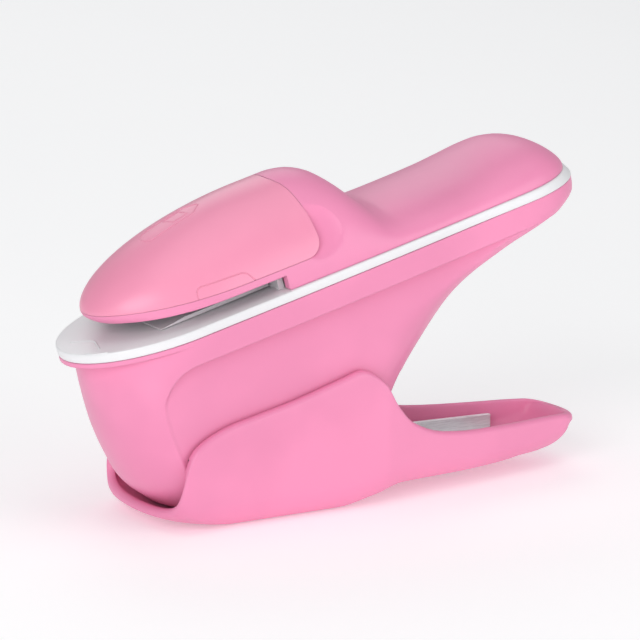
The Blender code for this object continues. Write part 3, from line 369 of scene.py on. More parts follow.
def steel(name, colour, rough, brush, scale, edge, stain, line_depth=0.06):
    """Bright metal: drawn or turned lines, roughness bands, rubbed edges, patches of grime."""
    f = Finish(name)
    coords = f.object_coords()
    normal, wear = f.rounded_edges(edge)
    lines = f.noise(coords, scale=scale, detail=5.0, rough=0.65, stretch=brush)
    cloud = f.noise(coords, scale=90.0, detail=4.0, rough=0.6)
    grime = f.noise(coords, scale=210.0, detail=6.0, rough=0.7)
    grime_colour = (0.16, 0.13, 0.11, 1.0)

    base = f.mix(f.ramp(lines, between=(0.35, 0.65)), rgba(colour, gain=0.90),
                 rgba(colour, gain=1.08))
    base = f.tint(base, grime_colour, f.ramp(grime, between=(0.56, 0.70)), amount=stain)
    base = f.tint(base, rgba(colour, gain=1.3), wear, amount=0.5)

    roughness = f.plus(f.ramp(lines, between=(0.3, 0.7), to=(rough - 0.06, rough + 0.08)),
                       f.ramp(cloud, between=(0.4, 0.7), to=(-0.03, 0.07)))
    normal = f.bump(lines, normal, strength=line_depth, distance=0.0001)
    f.feed(f.shader, {"Base Color": base, "Roughness": roughness, "Metallic": 1.0,
                      "Normal": normal})
    f.mat.diffuse_color = (*colour, 1)
    return f.mat


SATIN = plastic("satin_pink_moulded", (0.84, 0.262, 0.455), rough=0.40, edge=0.45, coat=0.04)
COVER = plastic("gloss_pink_moulded", (0.87, 0.29, 0.445), rough=0.345, edge=0.2, coat=0.20,
                grain_depth=0.015, tint=0.03)
WHITE = plastic("white_moulded", (0.80, 0.80, 0.815), rough=0.36, edge=0.30, coat=0.05, tint=0.03)
PALE = plastic("pale_moulded", (0.70, 0.68, 0.70), rough=0.34, edge=0.25, coat=0.15)
GREY = plastic("grey_moulded", (0.40, 0.40, 0.42), rough=0.40, edge=0.25, coat=0.05, tint=0.06)
PLATED = steel("plated_sheet_steel", (0.80, 0.81, 0.82), rough=0.44, brush=(1.0, 1.0, 24.0),
               scale=220.0, edge=0.18, stain=0.06, line_depth=0.03)
HARD = steel("hardened_ground_steel", (0.60, 0.61, 0.63), rough=0.24, brush=(1.0, 20.0, 1.0),
             scale=320.0, edge=0.10, stain=0.08)
TURNED = steel("turned_steel", (0.62, 0.62, 0.64), rough=0.28, brush=(1.0, 26.0, 1.0),
               scale=420.0, edge=0.12, stain=0.12)
WIRE = steel("spring_wire_steel", (0.42, 0.42, 0.45), rough=0.30, brush=(1.0, 1.0, 1.0),
             scale=900.0, edge=0.05, stain=0.25)


def set_material(obj, mat):
    obj.data.materials.clear()
    obj.data.materials.append(mat)


def finish_piece(obj, mat, body, cad_node):
    """Gives a new piece its material and puts it in place of a CAD piece."""
    set_material(obj, mat)
    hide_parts(cad_node)
    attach(obj, body)


# ------------------------------------------------------------------ squeeze lever (world frame)
LEVER_HALF = 20.6
LEVER_CORNER, LEVER_CORNER_HALF = 87.0, 10.6     # where the tapered side meets the rounded tail
LEVER_TAIL = 93.4
LEVER_TAPER_FROM = 30.0
LEVER_WALL = WALL - 0.1
RIM_OUTER, RIM_INNER = 1.3, 0.4   # rounding of the rim's outer and inner edges
LEVER_SCREW_XS = (-9.0, 58.0)
LEVER_HOLE, LEVER_SINK = 1.75, 3.3               # radii of the hole and its countersink

# y, x of the nose wall: low down and at the rim
lever_plan_low = smooth_table([
    (0.0, -30.3), (6.0, -30.0), (11.0, -29.4), (15.0, -28.6), (17.6, -27.8), (19.2, -26.9),
    (20.1, -25.9), (20.5, -24.9), (20.6, -23.8)])
lever_plan_top = smooth_table([
    (0.0, -30.3), (6.0, -30.05), (11.0, -29.5), (15.0, -28.8), (17.6, -28.1), (19.2, -27.3),
    (20.1, -26.5), (20.5, -25.6), (20.6, -24.8)])
# x, z of the rim
rim_height = smooth_table([
    (-30.3, 5.1), (-29.7, 5.3), (-29.1, 5.8), (-28.5, 6.7), (-27.9, 8.1), (-27.3, 10.3),
    (-26.7, 13.0), (-25.9, 16.2), (-24.8, 18.9), (-22.9, 21.3), (-19.5, 23.5), (-17.0, 24.6),
    (-13.9, 25.7), (-5.7, 27.6), (2.5, 29.4), (13.0, 32.3), (17.5, 33.6), (22.4, 34.9),
    (28.6, 31.6), (33.0, 25.0), (38.0, 19.8), (47.6, 15.8), (60.0, 14.3), (74.0, 13.9),
    (82.0, 13.8), (87.0, 13.6), (91.0, 13.3), (93.4, 12.9)])
# x, z of the underside
keel = smooth_table([
    (-16.0, 0.0), (18.0, 0.0), (27.0, 1.5), (37.0, 3.6), (45.0, 3.7), (70.0, 3.8), (76.0, 4.2),
    (80.0, 4.8), (84.0, 5.9), (88.0, 7.7), (91.0, 9.4), (93.4, 10.7)])
LEVER_SIDE_XS = (
    -23.4, -22.6, -21.8, -21.0, -20.0, -19.0, -17.8, -16.4, -15.0, -13.0, -11.0, -8.0, -5.0, -2.0,
    1.0, 4.0, 7.0, 10.0, 13.0, 15.5, 18.0, 19.5, 20.7, 21.6, 22.4, 23.2, 24.0, 25.0, 26.0, 27.0,
    28.0, 29.0, 30.0, 31.0, 32.0, 33.0, 34.0, 35.0, 36.2, 37.5, 39.0, 40.5, 42.5, 45.0, 48.0,
    51.5, 55.5, 60.0, 65.0, 69.0, 73.0, 76.5, 79.5, 82.0, 84.0)


def corner_width(x):
    return 7.2 - 2.7 * step01((x - 30) / 30)


def corner_height(x):
    return 7.4 - 2.9 * step01((x - 30) / 30)


def lever_stations():
    """Half outline: wall x, y; foot x, y; outward normal x, y; x of the wall's top."""
    out = []
    # Nose, from the middle plane outwards, with stations crowded towards the corner
    for k in range(33):
        share = k / 32
        if share >= 0.5:
            share = 0.5 + 0.5 * (1 - (1 - (share - 0.5) * 2) ** 1.5)
        angle = math.pi / 2 * share
        y = LEVER_HALF * math.sin(angle)
        y0, y1 = max(y - 0.25, 0.0), min(y + 0.25, LEVER_HALF)
        slope = (lever_plan_low(y1) - lever_plan_low(y0)) / (y1 - y0)
        length = math.hypot(1, slope)
        normal = {0: (-1.0, 0.0), 32: (0.0, 1.0)}.get(k, (-1 / length, slope / length))
        out.append((lever_plan_low(y), y, -5.5 - 6.5 * math.cos(angle), 12.5 * math.sin(angle),
                    *normal, lever_plan_top(y)))
    # Side, tapering towards the tail
    narrowing, taper_len = LEVER_HALF - LEVER_CORNER_HALF, LEVER_CORNER - LEVER_TAPER_FROM
    for x in LEVER_SIDE_XS:
        y = LEVER_HALF - narrowing * max(0, x - LEVER_TAPER_FROM) / taper_len
        slope = narrowing / taper_len * step01((x - 27.0) / 6.0)
        length = math.hypot(1, slope)
        foot_x = x + 18 * (1 - step01((x + 24) / 34)) - 8 * step01((x - 55) / 34)
        out.append((x, y, foot_x, max(y - corner_width(x), 2.0), slope / length, 1 / length, x))
    # Elliptical tail
    tail_len = LEVER_TAIL - LEVER_CORNER
    for k in range(15):
        sine, cosine = math.sin(quarter(k, 14)), math.cos(quarter(k, 14))
        normal_x, normal_y = sine / tail_len, cosine / LEVER_CORNER_HALF
        length = math.hypot(normal_x, normal_y)
        x = LEVER_CORNER + tail_len * sine
        out.append((x, LEVER_CORNER_HALF * cosine, 77 + 4 * sine,
                    (LEVER_CORNER_HALF - 4.8) * cosine, normal_x / length, normal_y / length, x))
    return out


def lever_ring(stations, inset, turn, rise, drop=0.0):
    """Ring on the lever's wall.

    turn goes 0..1 round the bottom corner, rise 0..1 up the wall to drop below the rim.
    """
    points = []
    for wall_x, wall_y, foot_x, foot_y, normal_x, normal_y, top_x in stations:
        outer_x, outer_y = wall_x - inset * normal_x, wall_y - inset * normal_y
        if wall_x < 76:
            base = keel(min(wall_x, foot_x + 30)) if wall_x > 40 else keel(foot_x)
            low = min(keel(wall_x), base)
        else:
            low = keel(76) + (keel(wall_x) - keel(76)) * turn ** 2
        top = rim_height(top_x)
        full = corner_height(wall_x)
        # The corner arc stops early where the wall is too low for all of it
        last = math.acos(1 - min(max(top - low - 1.5, 0.3) * 0.88 / full, 1.0))
        angle = last * turn
        x = foot_x + (outer_x - foot_x) * math.sin(angle) / math.sin(last)
        y = foot_y + (outer_y - foot_y) * math.sin(angle) / math.sin(last)
        z = low + inset + max(full - inset, 0.6) * (1 - math.cos(angle))
        z += (top - drop - z) * rise
        x += (top_x - wall_x) * step01((z - 2.0) / 8.0)
        points.append((x, -max(y, 0.0), z))
    return mirror_ring(points)


def build_lever():
    # inset, turn, rise, drop of each ring: up the outside, over the rim, down the inside
    steps = [(0, k / 16, 0, 0) for k in range(17)]
    steps += [(0, 1, rise, RIM_OUTER) for rise in (0.12, 0.25, 0.4, 0.55, 0.7, 0.85, 1.0)]
    steps += [(RIM_OUTER * (1 - math.cos(quarter(k, 6))), 1, 1,
               RIM_OUTER * (1 - math.sin(quarter(k, 6)))) for k in range(1, 7)]
    steps += [(LEVER_WALL - RIM_INNER + RIM_INNER * math.sin(quarter(k, 4)), 1, 1,
               RIM_INNER * (1 - math.cos(quarter(k, 4)))) for k in range(5)]
    steps += [(LEVER_WALL, 1, rise, RIM_INNER) for rise in (0.8, 0.6, 0.4, 0.2)]
    steps += [(LEVER_WALL, k / 12, 0, 0) for k in range(12, -1, -1)]
    stations = lever_stations()
    rings = [lever_ring(stations, *step) for step in steps]
    lever = new_object("lever_shell_skin", skin(rings, in_world, ladder_ends=True), 40)
    cuts = []
    for x in LEVER_SCREW_XS:
        z = keel(x)
        for radii, below, above in (((LEVER_SINK, LEVER_HOLE), 0.4, 1.6),
                                    ((LEVER_HOLE, LEVER_HOLE), 1.0, 5.0)):
            rod = upright_rod(x, radii, z - below, z + above, place=in_world)
            cuts.append((rod, "DIFFERENCE"))
    carve(lever, cuts, 40)
    finish_piece(lever, SATIN, "lever", "lever_shell")


# ------------------------------------------------------------------ hull (body frame)
HULL_TOP = 2.42                   # depth of the hull's top edge under the deck surface
FLANGE_LOW = 3.6
PANEL_HALF = 17.9                 # half width between the recessed side panels
HULL_DEPTH = 41.5
HULL_DROP = 3.5                   # the nose reaches this much lower than the rest
HULL_DROP_FROM = 34.0             # depth where that drop sets in

# All five: depth below the deck surface, then an x or a length along x
hull_nose = smooth_table([
    (3.9, 5.4), (9.0, 5.3), (14.0, 5.5), (21.0, 5.8), (27.0, 6.6), (32.0, 7.7), (36.0, 8.8),
    (39.0, 10.3), (41.5, 12.2), (45.5, 15.6)])
hull_nose_len = smooth_table([
    (3.9, 24.9), (9.0, 22.4), (13.0, 19.0), (16.0, 17.9), (26.0, 17.2), (34.0, 16.6),
    (41.5, 15.5)])
hull_tail = smooth_table([
    (2.6, 143.1), (5.5, 142.8), (8.4, 139.4), (10.5, 133.6), (12.0, 128.0), (13.5, 122.4),
    (15.2, 116.6), (17.0, 112.0), (20.5, 105.6), (24.0, 100.4), (28.5, 94.6), (33.0, 89.2),
    (37.0, 85.3), (41.5, 81.5)])
hull_tail_len = smooth_table([
    (2.6, 21.0), (8.4, 21.0), (12.0, 22.0), (16.0, 24.0), (22.0, 26.0), (28.0, 26.0),
    (34.0, 26.0), (41.5, 25.0)])
# front edge of the recessed panel, with its rounded top corner
panel_front = smooth_table([
    (8.4, 25.6), (8.8, 24.2), (9.3, 22.3), (10.0, 20.7), (11.0, 19.2), (12.0, 18.0), (13.0, 17.1),
    (14.2, 16.2), (16.0, 15.3), (18.0, 14.8)])
PANEL_RING_DEPTHS = (
    40.0, 39.0, 38.0, 37.0, 36.0, 35.0, 34.0, 32.5, 31.0, 29.5, 28.0, 26.5, 25.0, 23.5, 22.0,
    20.5, 19.0, 17.8, 16.8, 15.8, 15.0, 14.3, 13.6, 12.9, 12.2, 11.5, 10.9, 10.4, 9.9, 9.5, 9.2,
    9.0, 8.9, 8.82)
BAND_RING_DEPTHS = (8.6, 8.4, 8.0, 7.4, 6.6, 5.8, 5.0, 4.3, 4.0)
# inside rings: depth, depth whose outline they follow
INNER_RINGS = (
    (HULL_TOP, 4.5), (5.5, 8.4), (8.0, 11.2), (10.5, 14.0), (13.5, 17.0), (18.0, 20.5),
    (21.0, 23.0), (24.0, 25.5), (27.0, 28.2), (30.0, 31.0), (33.0, 33.6), (36.0, 36.5),
    (39.0, 39.2), (HULL_DEPTH - 0.35, HULL_DEPTH - 0.3))


def hull_ring(depth, shape_depth=None, inset=0.0, recessed=True, flange=False):
    """Outline of the hull at one depth, shaped as at shape_depth where that is given."""
    shape = depth if shape_depth is None else shape_depth
    drop = HULL_DROP * clamp01((shape - HULL_DROP_FROM) / (HULL_DEPTH - HULL_DROP_FROM))
    if flange:
        nose, nose_len = DECK_NOSE + 0.1, DECK_NOSE_LEN
    else:
        nose, nose_len = hull_nose(shape + drop) + inset, hull_nose_len(shape) - inset
    tail, tail_len = hull_tail(shape) - inset, hull_tail_len(shape) - inset
    half = DECK_HALF - 0.1 - inset
    side = PANEL_HALF - inset

    def limit(x):
        """Half width the side is held to: the recess fades out towards the tail."""
        if not recessed:
            return math.inf
        return side + (half - side) * step01((x - 104.0) / 18.0)

    def full(x):
        bow = 0 if recessed else bulge(x)
        return (half + bow) * ease((x - nose) / nose_len)

    # The side starts where the nose curve has reached the panel, or behind the panel's front
    start = panel_front(8.4)
    if recessed:
        crease = nose + nose_len * (1 - math.sqrt(1 - (side / half) ** 2))
        start = crease if inset > 0 else max(crease, panel_front(shape))
    nose_turn = math.acos(clamp01(1 - (start - nose) / nose_len))
    outline = []
    for k in range(29):
        angle = nose_turn * k / 28
        outline.append((nose + nose_len * (1 - math.cos(angle)), -half * math.sin(angle)))
    for offset in (0.15, 0.35, 0.6, 0.9, 1.3, 1.8):
        x = start + offset
        edge = full(x)
        outline.append((x, -(edge + (min(edge, limit(x)) - edge) * step01(offset / 1.3))))
    side_start, side_end = start + 1.8, tail - tail_len
    for i in range(1, 30):
        x = side_start + (side_end - side_start) * i / 30
        outline.append((x, -min(full(x), limit(x))))
    tail_half = min(half, limit(side_end))
    power = TAIL_POWER - (TAIL_POWER - 2.0) * step01((shape - 9.0) / 12.0)
    for k in range(25):
        angle = quarter(k, 24)
        outline.append((side_end + tail_len * math.sin(angle) ** (2 / power),
                        -tail_half * max(math.cos(angle), 0.0) ** (2 / power)))
    return mirror_ring([(x, y, -depth - drop * (1 - step01((x - 24.0) / 16)))
                        for x, y in outline])


def build_hull():
    # Up the outside from the bottom edge, over the top, and down the inside
    rings = [hull_ring(HULL_DEPTH, HULL_DEPTH, inset=0.40),
             hull_ring(HULL_DEPTH - 0.12, HULL_DEPTH, inset=0.12),
             hull_ring(HULL_DEPTH - 0.4)]
    rings += [hull_ring(depth) for depth in PANEL_RING_DEPTHS]
    rings += [hull_ring(depth, recessed=False) for depth in BAND_RING_DEPTHS]
    rings += [hull_ring(depth, recessed=False, flange=True)
              for depth in (FLANGE_LOW, FLANGE_LOW - 0.2, HULL_TOP)]
    rings += [hull_ring(depth, shape, inset=WALL) for depth, shape in INNER_RINGS]
    rings.append(hull_ring(HULL_DEPTH, HULL_DEPTH, inset=WALL - 0.35))
    hull = new_object("lower_body_skin", skin(rings, closed=True))
    # Notch in the lower rear edge, then the bosses, then their wide and narrow bores
    cuts = [(box(74, 100, -11.5, 11.5, -43, -34), "DIFFERENCE")]
    for x, z in HANDLE_SCREWS:
        cuts.append((upright_rod(x, (4.2, 4.0), z + 0.8, -HULL_TOP), "UNION"))
    for x, z in HANDLE_SCREWS:
        cuts.append((upright_rod(x, (3.2, 3.2), z - 6, -8.2), "DIFFERENCE"))
        cuts.append((upright_rod(x, (1.8, 1.8), z - 6, 2, segments=24), "DIFFERENCE"))
    carve(hull, cuts)
    finish_piece(hull, SATIN, "upper_body", "lower_body_shell")


# ------------------------------------------------------------------ deck plate (body frame)
DECK_THICK = 2.35
DECK_SLOPE = 1.5                  # the end face leans out this much towards its underside
# inset, z, lean (0 at the top, 1 at the underside)
DECK_RINGS = (
    (0.35, -DECK_THICK, 1.0), (0.12, -DECK_THICK + 0.08, 1.0), (0.0, -DECK_THICK + 0.3, 0.9),
    (0.0, -1.2, 0.5), (0.0, -0.45, 0.15), (0.06, -0.2, 0.05), (0.2, -0.05, 0.0), (0.45, 0.0, 0.0))
# raised lines on the nose: path points, corner radius
DECK_MARKS = (
    ([(5.4, 3.9, 0.02), (9.7, -1.4, 0.02), (7.6, -8.0, 0.02)], 1.8),
    ([(4.1, -7.0, 0.02), (5.4, -10.4, 0.02), (7.7, -12.2, 0.02)], 1.2))


def deck_ring(inset, z, lean):
    nose, tail = DECK_NOSE + inset, DECK_TAIL - inset
    nose_len, tail_len = DECK_NOSE_LEN - inset, DECK_TAIL_LEN - inset
    nose_end, tail_start = nose + nose_len, tail - tail_len
    xs = [nose + nose_len * (1 - math.cos(quarter(k, 40))) for k in range(41)]
    xs += [nose_end + (tail_start - nose - nose_len) * k / 30 for k in range(1, 30)]
    outline = [(x, -(DECK_HALF - inset + bulge(x)) * ease((x - nose) / nose_len)) for x in xs]
    for k in range(33):
        angle = quarter(k, 32)
        full = DECK_HALF - inset + bulge(tail_start + tail_len * math.sin(angle))
        outline.append((tail_start + tail_len * math.sin(angle) ** (2 / TAIL_POWER),
                        -full * max(math.cos(angle), 0.0) ** (2 / TAIL_POWER)))
    return mirror_ring([
        (x + DECK_SLOPE * step01((x - 118.0) / (DECK_TAIL - 118.0)) * lean,
         y * (1 + 0.02 * lean * step01((x - 105.0) / 20.0)), z) for x, y in outline])


def build_deck():
    deck = new_object("deck_plate_skin", skin([deck_ring(*row) for row in DECK_RINGS], caps=True))
    # Cross rib, two long slots, a window ahead of the rib, and the screw holes
    cuts = [(box(52.7, 54.3, -16.6, 16.6, -1.0, 3.3), "UNION")]
    for y0, y1 in ((-6.3, -4.3), (4.3, 6.3)):
        cuts.append((box(56.8, 74.5, y0, y1, -4, 2), "DIFFERENCE"))
    cuts.append((box(31.0, 52.0, -7.6, 7.6, -4, 2), "DIFFERENCE"))
    for x, _ in HANDLE_SCREWS:
        cuts.append((upright_rod(x, (1.9, 1.9), -4, 2, segments=24), "DIFFERENCE"))
    for points, radius in DECK_MARKS:
        path = densify(round_path(points, radius), 0.5)
        cuts.append((bead(path, radius=0.22), "UNION"))
    carve(deck, cuts)
    finish_piece(deck, WHITE, "upper_body", "deck_plate")


# ------------------------------------------------------------------ pod (body frame)
# The upper shell and the head cover are both cut from this one form.
HEAD_NOSE, HEAD_NOSE_LEN, HEAD_HALF = 9.6, 33.0, 19.7
HEAD_SEAM, NOSE_SEAM = 5.4, 6.4   # seam height under the head cover, at its rear and at the nose
HEAD_TOP, HEAD_TOP_LEN = 22.6, 48.0
POD_TAIL, POD_TAIL_LEN = DECK_TAIL - 0.2, DECK_TAIL_LEN - 0.2
SLOT_TOP = 3.75                   # clear height of the paper throat
THROAT_END = 54.0                 # x of the throat's rear end
THROAT_ROUND = 0.5                # rounding of the throat's lower rear corner
SCOOP_CENTRE = (65.0, 24.7, 14.6)                # of the far side; the near side mirrors it
SCOOP_X, SCOOP_SHORT, SCOOP_LONG = 13.2, 9.7, 18.2      # semi-axes of the ellipsoid
SCOOP_COS, SCOOP_SIN = 0.90, 0.437               # its tilt about x

# x, height of the top behind the nose
hump = smooth_table([
    (57.0, 22.6), (66.0, 22.6), (70.2, 22.0), (74.4, 20.2), (78.2, 16.8), (81.9, 12.2),
    (84.6, 9.2), (89.0, 7.4), (96.0, 7.2), (104.0, 7.3), (112.0, 7.6), (119.0, 8.3), (124.0, 8.9),
    (128.0, 9.1), (131.5, 8.6), (134.5, 7.5), (137.0, 5.8), (139.2, 3.6), (140.6, 1.7),
    (141.4, 0.05)])


def pod_top(x, inset):
    if x < HEAD_NOSE + HEAD_TOP_LEN:
        share = (x - HEAD_NOSE - inset) / (HEAD_TOP_LEN - inset)
        return NOSE_SEAM + (HEAD_TOP - NOSE_SEAM - inset) * ease(share) ** 1.25
    if inset and 66.0 < x < 92.0:
        return min(hump(x) - inset, hump(x + 0.8 * inset) - 0.45 * inset)
    shifted = hump(x + inset * step01((x - 114.0) / 22.0))
    return max(shifted - inset * (1 - 0.5 * step01((x - 128.0) / 12.0)), 0.02)


def pod_size(x, inset=0.0):
    """Section at x: half width, centre height, reach below and above it, upper power."""
    nose_ease = ease((x - HEAD_NOSE - inset) / (HEAD_NOSE_LEN - inset))
    tail_ease = ease((POD_TAIL - inset - x) / (POD_TAIL_LEN - inset), TAIL_POWER)
    width = (HEAD_HALF - inset + bulge(x, 45, 80)) * nose_ease * tail_ease
    centre = NOSE_SEAM * (1 - step01((x - HEAD_NOSE) / 34.0))
    below = (6.5 - inset) * nose_ease * max(tail_ease, 0.05)
    above = max(pod_top(x, inset) - centre, 0.02)
    return width, centre, below, above, 2.0 + 0.15 * step01((x - 75) / 15)


def pod_ring(x, inset, count):
    width, centre, below, above, power = pod_size(x, inset)
    ring = []
    for i in range(count):
        angle = 2 * math.pi * i / count - math.pi / 2
        cosine, sine = math.cos(angle), math.sin(angle)
        if sine >= 0:
            y = width * math.copysign(abs(cosine) ** (2 / power), cosine)
            z = centre + above * abs(sine) ** (2 / power)
        else:
            y = width * math.copysign(abs(cosine) ** 0.8, cosine)
            z = centre - below * abs(sine)
        ring.append((x, y, z))
    return ring


def pod(inset=0.0, count=112, coarse=1):
    """The pod as a solid; coarse divides the number of stations along x."""
    nose, nose_len = HEAD_NOSE + inset, HEAD_NOSE_LEN - inset
    tail_len = POD_TAIL_LEN - inset
    tail_start = POD_TAIL - inset - tail_len
    nose_steps, side_steps, tail_steps = 30 // coarse, 60 // coarse, 26 // coarse
    xs = [nose + nose_len * (1 - math.cos(math.pi / 2 * (0.03 + 0.97 * k / nose_steps)))
          for k in range(nose_steps + 1)]
    nose_end = xs[-1]
    xs += [nose_end + (tail_start - nose_end) * k / side_steps for k in range(1, side_steps)]
    xs += [tail_start + tail_len * math.sin(math.pi / 2 * (0.97 * k / tail_steps))
           for k in range(tail_steps + 1)]
    return skin([pod_ring(x, inset, count) for x in xs], caps=True)


def pod_half_width(x, z):
    """Half width of the pod at a height above its centre."""
    width, centre, _, above, power = pod_size(x)
    return width * (1 - ((z - centre) / above) ** power) ** (1 / power)


def pod_over(x, y):
    """Point on the pod's top above (x, y)."""
    width, centre, _, above, power = pod_size(x)
    return (x, y, centre + above * (1 - (abs(y) / width) ** power) ** (1 / power))


def cover_region(gap):
    """Side outline of the head cover, grown by gap.

    The seam rises to the nose, the lower rear corner is rounded, and the rear edge leans
    forward at the top.
    """
    seam_z, rear, radius = HEAD_SEAM + 0.1 - gap, 65.3 + gap, 4.4 + gap
    rise = NOSE_SEAM - HEAD_SEAM + 0.15
    corner_x, corner_z = rear - radius, seam_z + radius
    seam = smooth_table([
        (-10.0, seam_z + rise), (13.0, seam_z + rise), (20.0, seam_z + 0.75 * rise),
        (31.0, seam_z + 0.3 * rise), (46.0, seam_z), (corner_x, seam_z)])
    xs = (-10.0, 5.0, *(10.0 + 3.0 * k for k in range(13)), 52.0, corner_x)
    points = [(x, seam(x)) for x in xs]
    points += [(corner_x + radius * math.sin(quarter(k, 12)),
                corner_z - radius * math.cos(quarter(k, 12))) for k in range(1, 13)]
    back = smooth_table([
        (corner_z, rear), (14.0, rear), (17.5, rear - 0.35), (19.7, rear - 0.6),
        (21.4, rear - 1.2), (22.5, rear - 2.4), (24.5, rear - 5.0)])
    z = corner_z + 1.0
    while z < 24.4:
        points.append((back(z), z))
        z += 0.8
    return points + [(rear - 5.0, 24.5), (-10.0, 34.0)]


def throat_outline():
    """Side outline of what is cut away below the pod: the throat, and all under the deck top."""
    points = [(-5, -12), (160, -12), (160, SEAT), (THROAT_END + THROAT_ROUND, SEAT)]
    points += [(THROAT_END + THROAT_ROUND - THROAT_ROUND * math.sin(quarter(k, 4)),
                SEAT + THROAT_ROUND - THROAT_ROUND * math.cos(quarter(k, 4)))
               for k in range(1, 5)]
    return points + [(THROAT_END, SLOT_TOP), (30, SLOT_TOP), (22, SLOT_TOP + 0.25),
                     (15, SLOT_TOP + 0.5), (-5, SLOT_TOP + 0.6)]


def scoop(side):
    """Tilted ellipsoid that hollows one side of the shell."""
    centre_x, centre_y, centre_z = SCOOP_CENTRE
    rows = []
    for i in range(1, 40):
        cosine, sine = math.cos(math.pi * i / 40), math.sin(math.pi * i / 40)
        row = []
        for k in range(72):
            angle = 2 * math.pi * k / 72
            y = (centre_y + SCOOP_COS * SCOOP_SHORT * cosine
                 - SCOOP_SIN * SCOOP_LONG * sine * math.sin(angle))
            z = (centre_z + SCOOP_SIN * SCOOP_SHORT * cosine
                 + SCOOP_COS * SCOOP_LONG * sine * math.sin(angle))
            row.append((centre_x + SCOOP_X * sine * math.cos(angle), side * y, z))
        rows.append(row)
    return skin(rows, caps=True)


def build_upper_shell():
    shell = new_object("upper_shell_skin", pod())
    cuts = [(pod(WALL, count=64, coarse=2), "DIFFERENCE"),
            (prism(throat_outline(), -30, 30), "DIFFERENCE"),
            (prism(cover_region(0.07), -30, 30), "DIFFERENCE")]
    for side in (-1, 1):
        cuts.append((scoop(side), "DIFFERENCE"))
    for x, _ in HANDLE_SCREWS:
        cuts.append((upright_rod(x, (3.4, 3.8), BOSS_GAP, 6.6), "UNION"))
        cuts.append((upright_rod(x, (1.8, 1.8), -2, 5.4, segments=24), "DIFFERENCE"))
    carve(shell, cuts, 30)
    finish_piece(shell, SATIN, "upper_body", "upper_shell")


# x, z of the tongue-shaped groove on each side of the head cover
TONGUE = [(31.0, 5.3), (31.3, 8.5), (44.4, 8.2), (46.2, 5.2)]
# The raised outline on top: straight edges with a pointed rear, and a half-ellipse front
STRIP_FRONT, STRIP_FRONT_LEN, STRIP_HALF = 30.6, 2.2, 2.9
STRIP_EDGES = [(STRIP_FRONT, -STRIP_HALF), (41.6, -STRIP_HALF), (45.2, 0.0), (41.6, STRIP_HALF),
               (STRIP_FRONT, STRIP_HALF)]
# x, y of the small raised four-sided outline inside it
PATCH = [(36.8, -1.7), (41.0, -1.7), (40.2, 1.7), (35.6, 1.7), (36.8, -1.7)]


def build_head_cover():
    cover = new_object("head_cover_skin", pod())
    cuts = [(pod(WALL - 0.2, count=64, coarse=2), "DIFFERENCE"),
            (prism(cover_region(0.0), -30, 30), "INTERSECT")]
    tongue = densify(round_path(TONGUE, 2.4, 8), 0.4)
    for side in (-1, 1):
        path = [(x, side * pod_half_width(x, z), z) for x, z in tongue]
        cuts.append((bead(path, radius=0.17), "DIFFERENCE"))
    strip = [(STRIP_FRONT - STRIP_FRONT_LEN * math.sin(math.pi * k / 10),
              STRIP_HALF * math.cos(math.pi * k / 10)) for k in range(1, 10)]
    strip = densify(strip + round_path(STRIP_EDGES, 0.8, 3), 0.5)
    patch = densify(PATCH, 0.5)[:-1]
    for outline, radius in ((strip, 0.15), (patch, 0.12)):
        path = [pod_over(x, y) for x, y in outline]
        cuts.append((bead(path, radius, loop=True), "UNION"))
    carve(cover, cuts, 30)
    finish_piece(cover, COVER, "head_cover", "head_cover")


# ------------------------------------------------------------------ return spring (world frame)
SPRING_X, SPRING_Z0, SPRING_Z1 = 20.3, 4.4, 31.6
SPRING_R, SPRING_WIRE = 3.6, 0.5  # radii of the coil and of the wire
SPRING_TURNS = 8.0
SPRING_END_RISE = 0.14            # rise of each flat end turn, in pitches


def spring_rise(turn):
    """Climb after so many turns, in pitches; the first and last turn lie nearly flat."""
    if turn <= 1:
        return SPRING_END_RISE * turn
    if turn < SPRING_TURNS - 1:
        return turn - 1 + SPRING_END_RISE
    return SPRING_TURNS - 2 + SPRING_END_RISE + SPRING_END_RISE * (turn - SPRING_TURNS + 1)


def build_spring():
    turn_steps, wire_segments = 40, 12
    total = int(SPRING_TURNS * turn_steps)
    low, high = SPRING_Z0 + SPRING_WIRE + 0.05, SPRING_Z1 - SPRING_WIRE
    wire_angles = [2 * math.pi * k / wire_segments for k in range(wire_segments)]
    rings = []
    for i in range(total + 1):
        turn = i / turn_steps
        z = low + (high - low) * spring_rise(turn) / spring_rise(SPRING_TURNS)
        cosine, sine = math.cos(2 * math.pi * turn), math.sin(2 * math.pi * turn)
        wire = SPRING_WIRE * (0.8 if i in (0, total) else 1.0)
        rings.append([(SPRING_X + (SPRING_R + wire * math.cos(a)) * cosine,
                       (SPRING_R + wire * math.cos(a)) * sine, z + wire * math.sin(a))
                      for a in wire_angles])
    spring = new_object("return_spring_coil", skin(rings, in_world, caps=True), 40)
    finish_piece(spring, WIRE, "lever", "return_spring")
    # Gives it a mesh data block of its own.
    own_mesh(spring)


# ------------------------------------------------------------------ CAD pieces kept as they are
CAD_FINISHES = (
    (PALE, ("guide_plate",)),
    (GREY, ("head_liner",)),
    (PLATED, ("lever_channel", "frame_plate_left", "frame_plate_right", "spring_seat",
              "punch_carriage")),
    (HARD, ("head_die", "tab_cutter", "slit_blade", "tab_finger")),
    (TURNED, ("lever_screw_front", "lever_screw_rear", "handle_screw_front", "handle_screw_rear",
              "pivot_pin", "drive_pin", "finger_pin", "die_pin_front", "die_pin_rear",
              "frame_spacer_front", "frame_spacer_rear", "frame_spacer_top")),
    (WIRE, ("pivot_clip_left", "pivot_clip_right", "drive_pin_clip_left",
            "drive_pin_clip_right")))


def finish_cad_pieces():
    for mat, names in CAD_FINISHES:
        for name in names:
            set_material(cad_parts[name], mat)


# ------------------------------------------------------------------ stage (metres)
LIGHT_AIM = Vector((0.02, 0.0, 0.045))


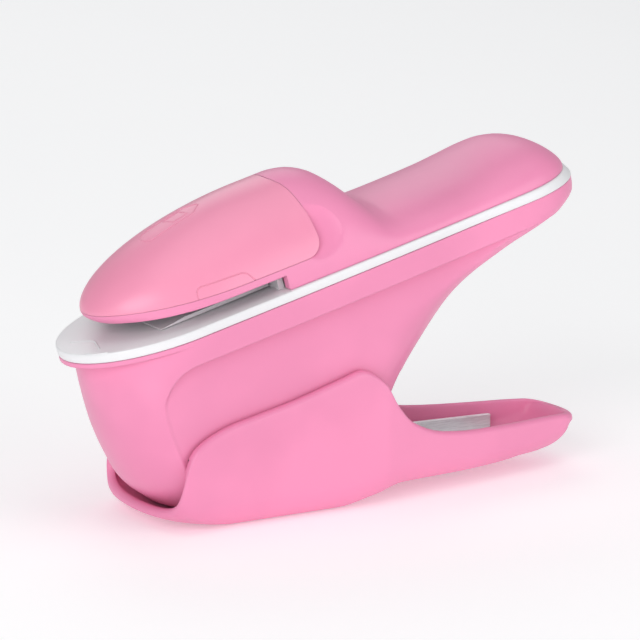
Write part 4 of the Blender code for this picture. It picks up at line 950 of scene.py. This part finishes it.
def build_floor():
    bm = bmesh.new()
    bmesh.ops.create_grid(bm, x_segments=2, y_segments=2, size=6.0)
    floor = new_object("studio_floor", bm)
    f = Finish("pale_floor")
    cloud = f.noise(f.object_coords(), scale=6.0)
    base = f.mix(cloud, (0.90, 0.90, 0.905, 1.0), (0.92, 0.92, 0.92, 1.0))
    f.feed(f.shader, {"Base Color": base, "Emission Color": (1.0, 1.0, 1.0, 1.0),
                      "Emission Strength": 0.25, "Roughness": 0.75})
    floor.data.materials.append(f.mat)


def disk_light(name, place, size, power):
    data = bpy.data.lights.new(name, "AREA")
    data.shape = "DISK"
    data.size = size
    data.energy = power
    light = bpy.data.objects.new(name, data)
    light.location = place
    light.rotation_euler = (LIGHT_AIM - Vector(place)).to_track_quat("-Z", "Y").to_euler()
    bpy.context.scene.collection.objects.link(light)


def build_world():
    world = bpy.data.worlds.new("studio")
    bpy.context.scene.world = world
    world.use_nodes = True
    background = world.node_tree.nodes["Background"]
    background.inputs["Color"].default_value = (0.93, 0.94, 0.96, 1)
    background.inputs["Strength"].default_value = 0.40


def build_camera():
    data = bpy.data.cameras.new("camera")
    data.lens = 229.6
    data.sensor_width = 36.0
    data.clip_start = 0.05
    camera = bpy.data.objects.new("camera", data)
    azimuth, elevation, distance = math.radians(-30.0), math.radians(13.0), 1.0
    target = Vector((0.022, 0.0, 0.0436))
    back = Vector((math.sin(azimuth) * math.cos(elevation),
                   -math.cos(azimuth) * math.cos(elevation), math.sin(elevation)))
    camera.location = target + distance * back
    camera.rotation_euler = (-back).to_track_quat("-Z", "Y").to_euler()
    bpy.context.scene.collection.objects.link(camera)
    bpy.context.scene.camera = camera


build_lever()
build_hull()
build_deck()
build_upper_shell()
build_head_cover()
build_spring()
finish_cad_pieces()
build_floor()
disk_light("key_left", (-1.0, -0.8, 0.50), size=1.0, power=8.6)
disk_light("top_soft", (0.05, -0.20, 1.25), size=1.3, power=2.9)
disk_light("fill_right", (0.70, -1.10, 0.35), size=0.9, power=4.6)
disk_light("rim_back", (0.35, 1.0, 0.8), size=0.8, power=1.9)
build_world()
build_camera()
bpy.context.scene.view_settings.view_transform = "Standard"
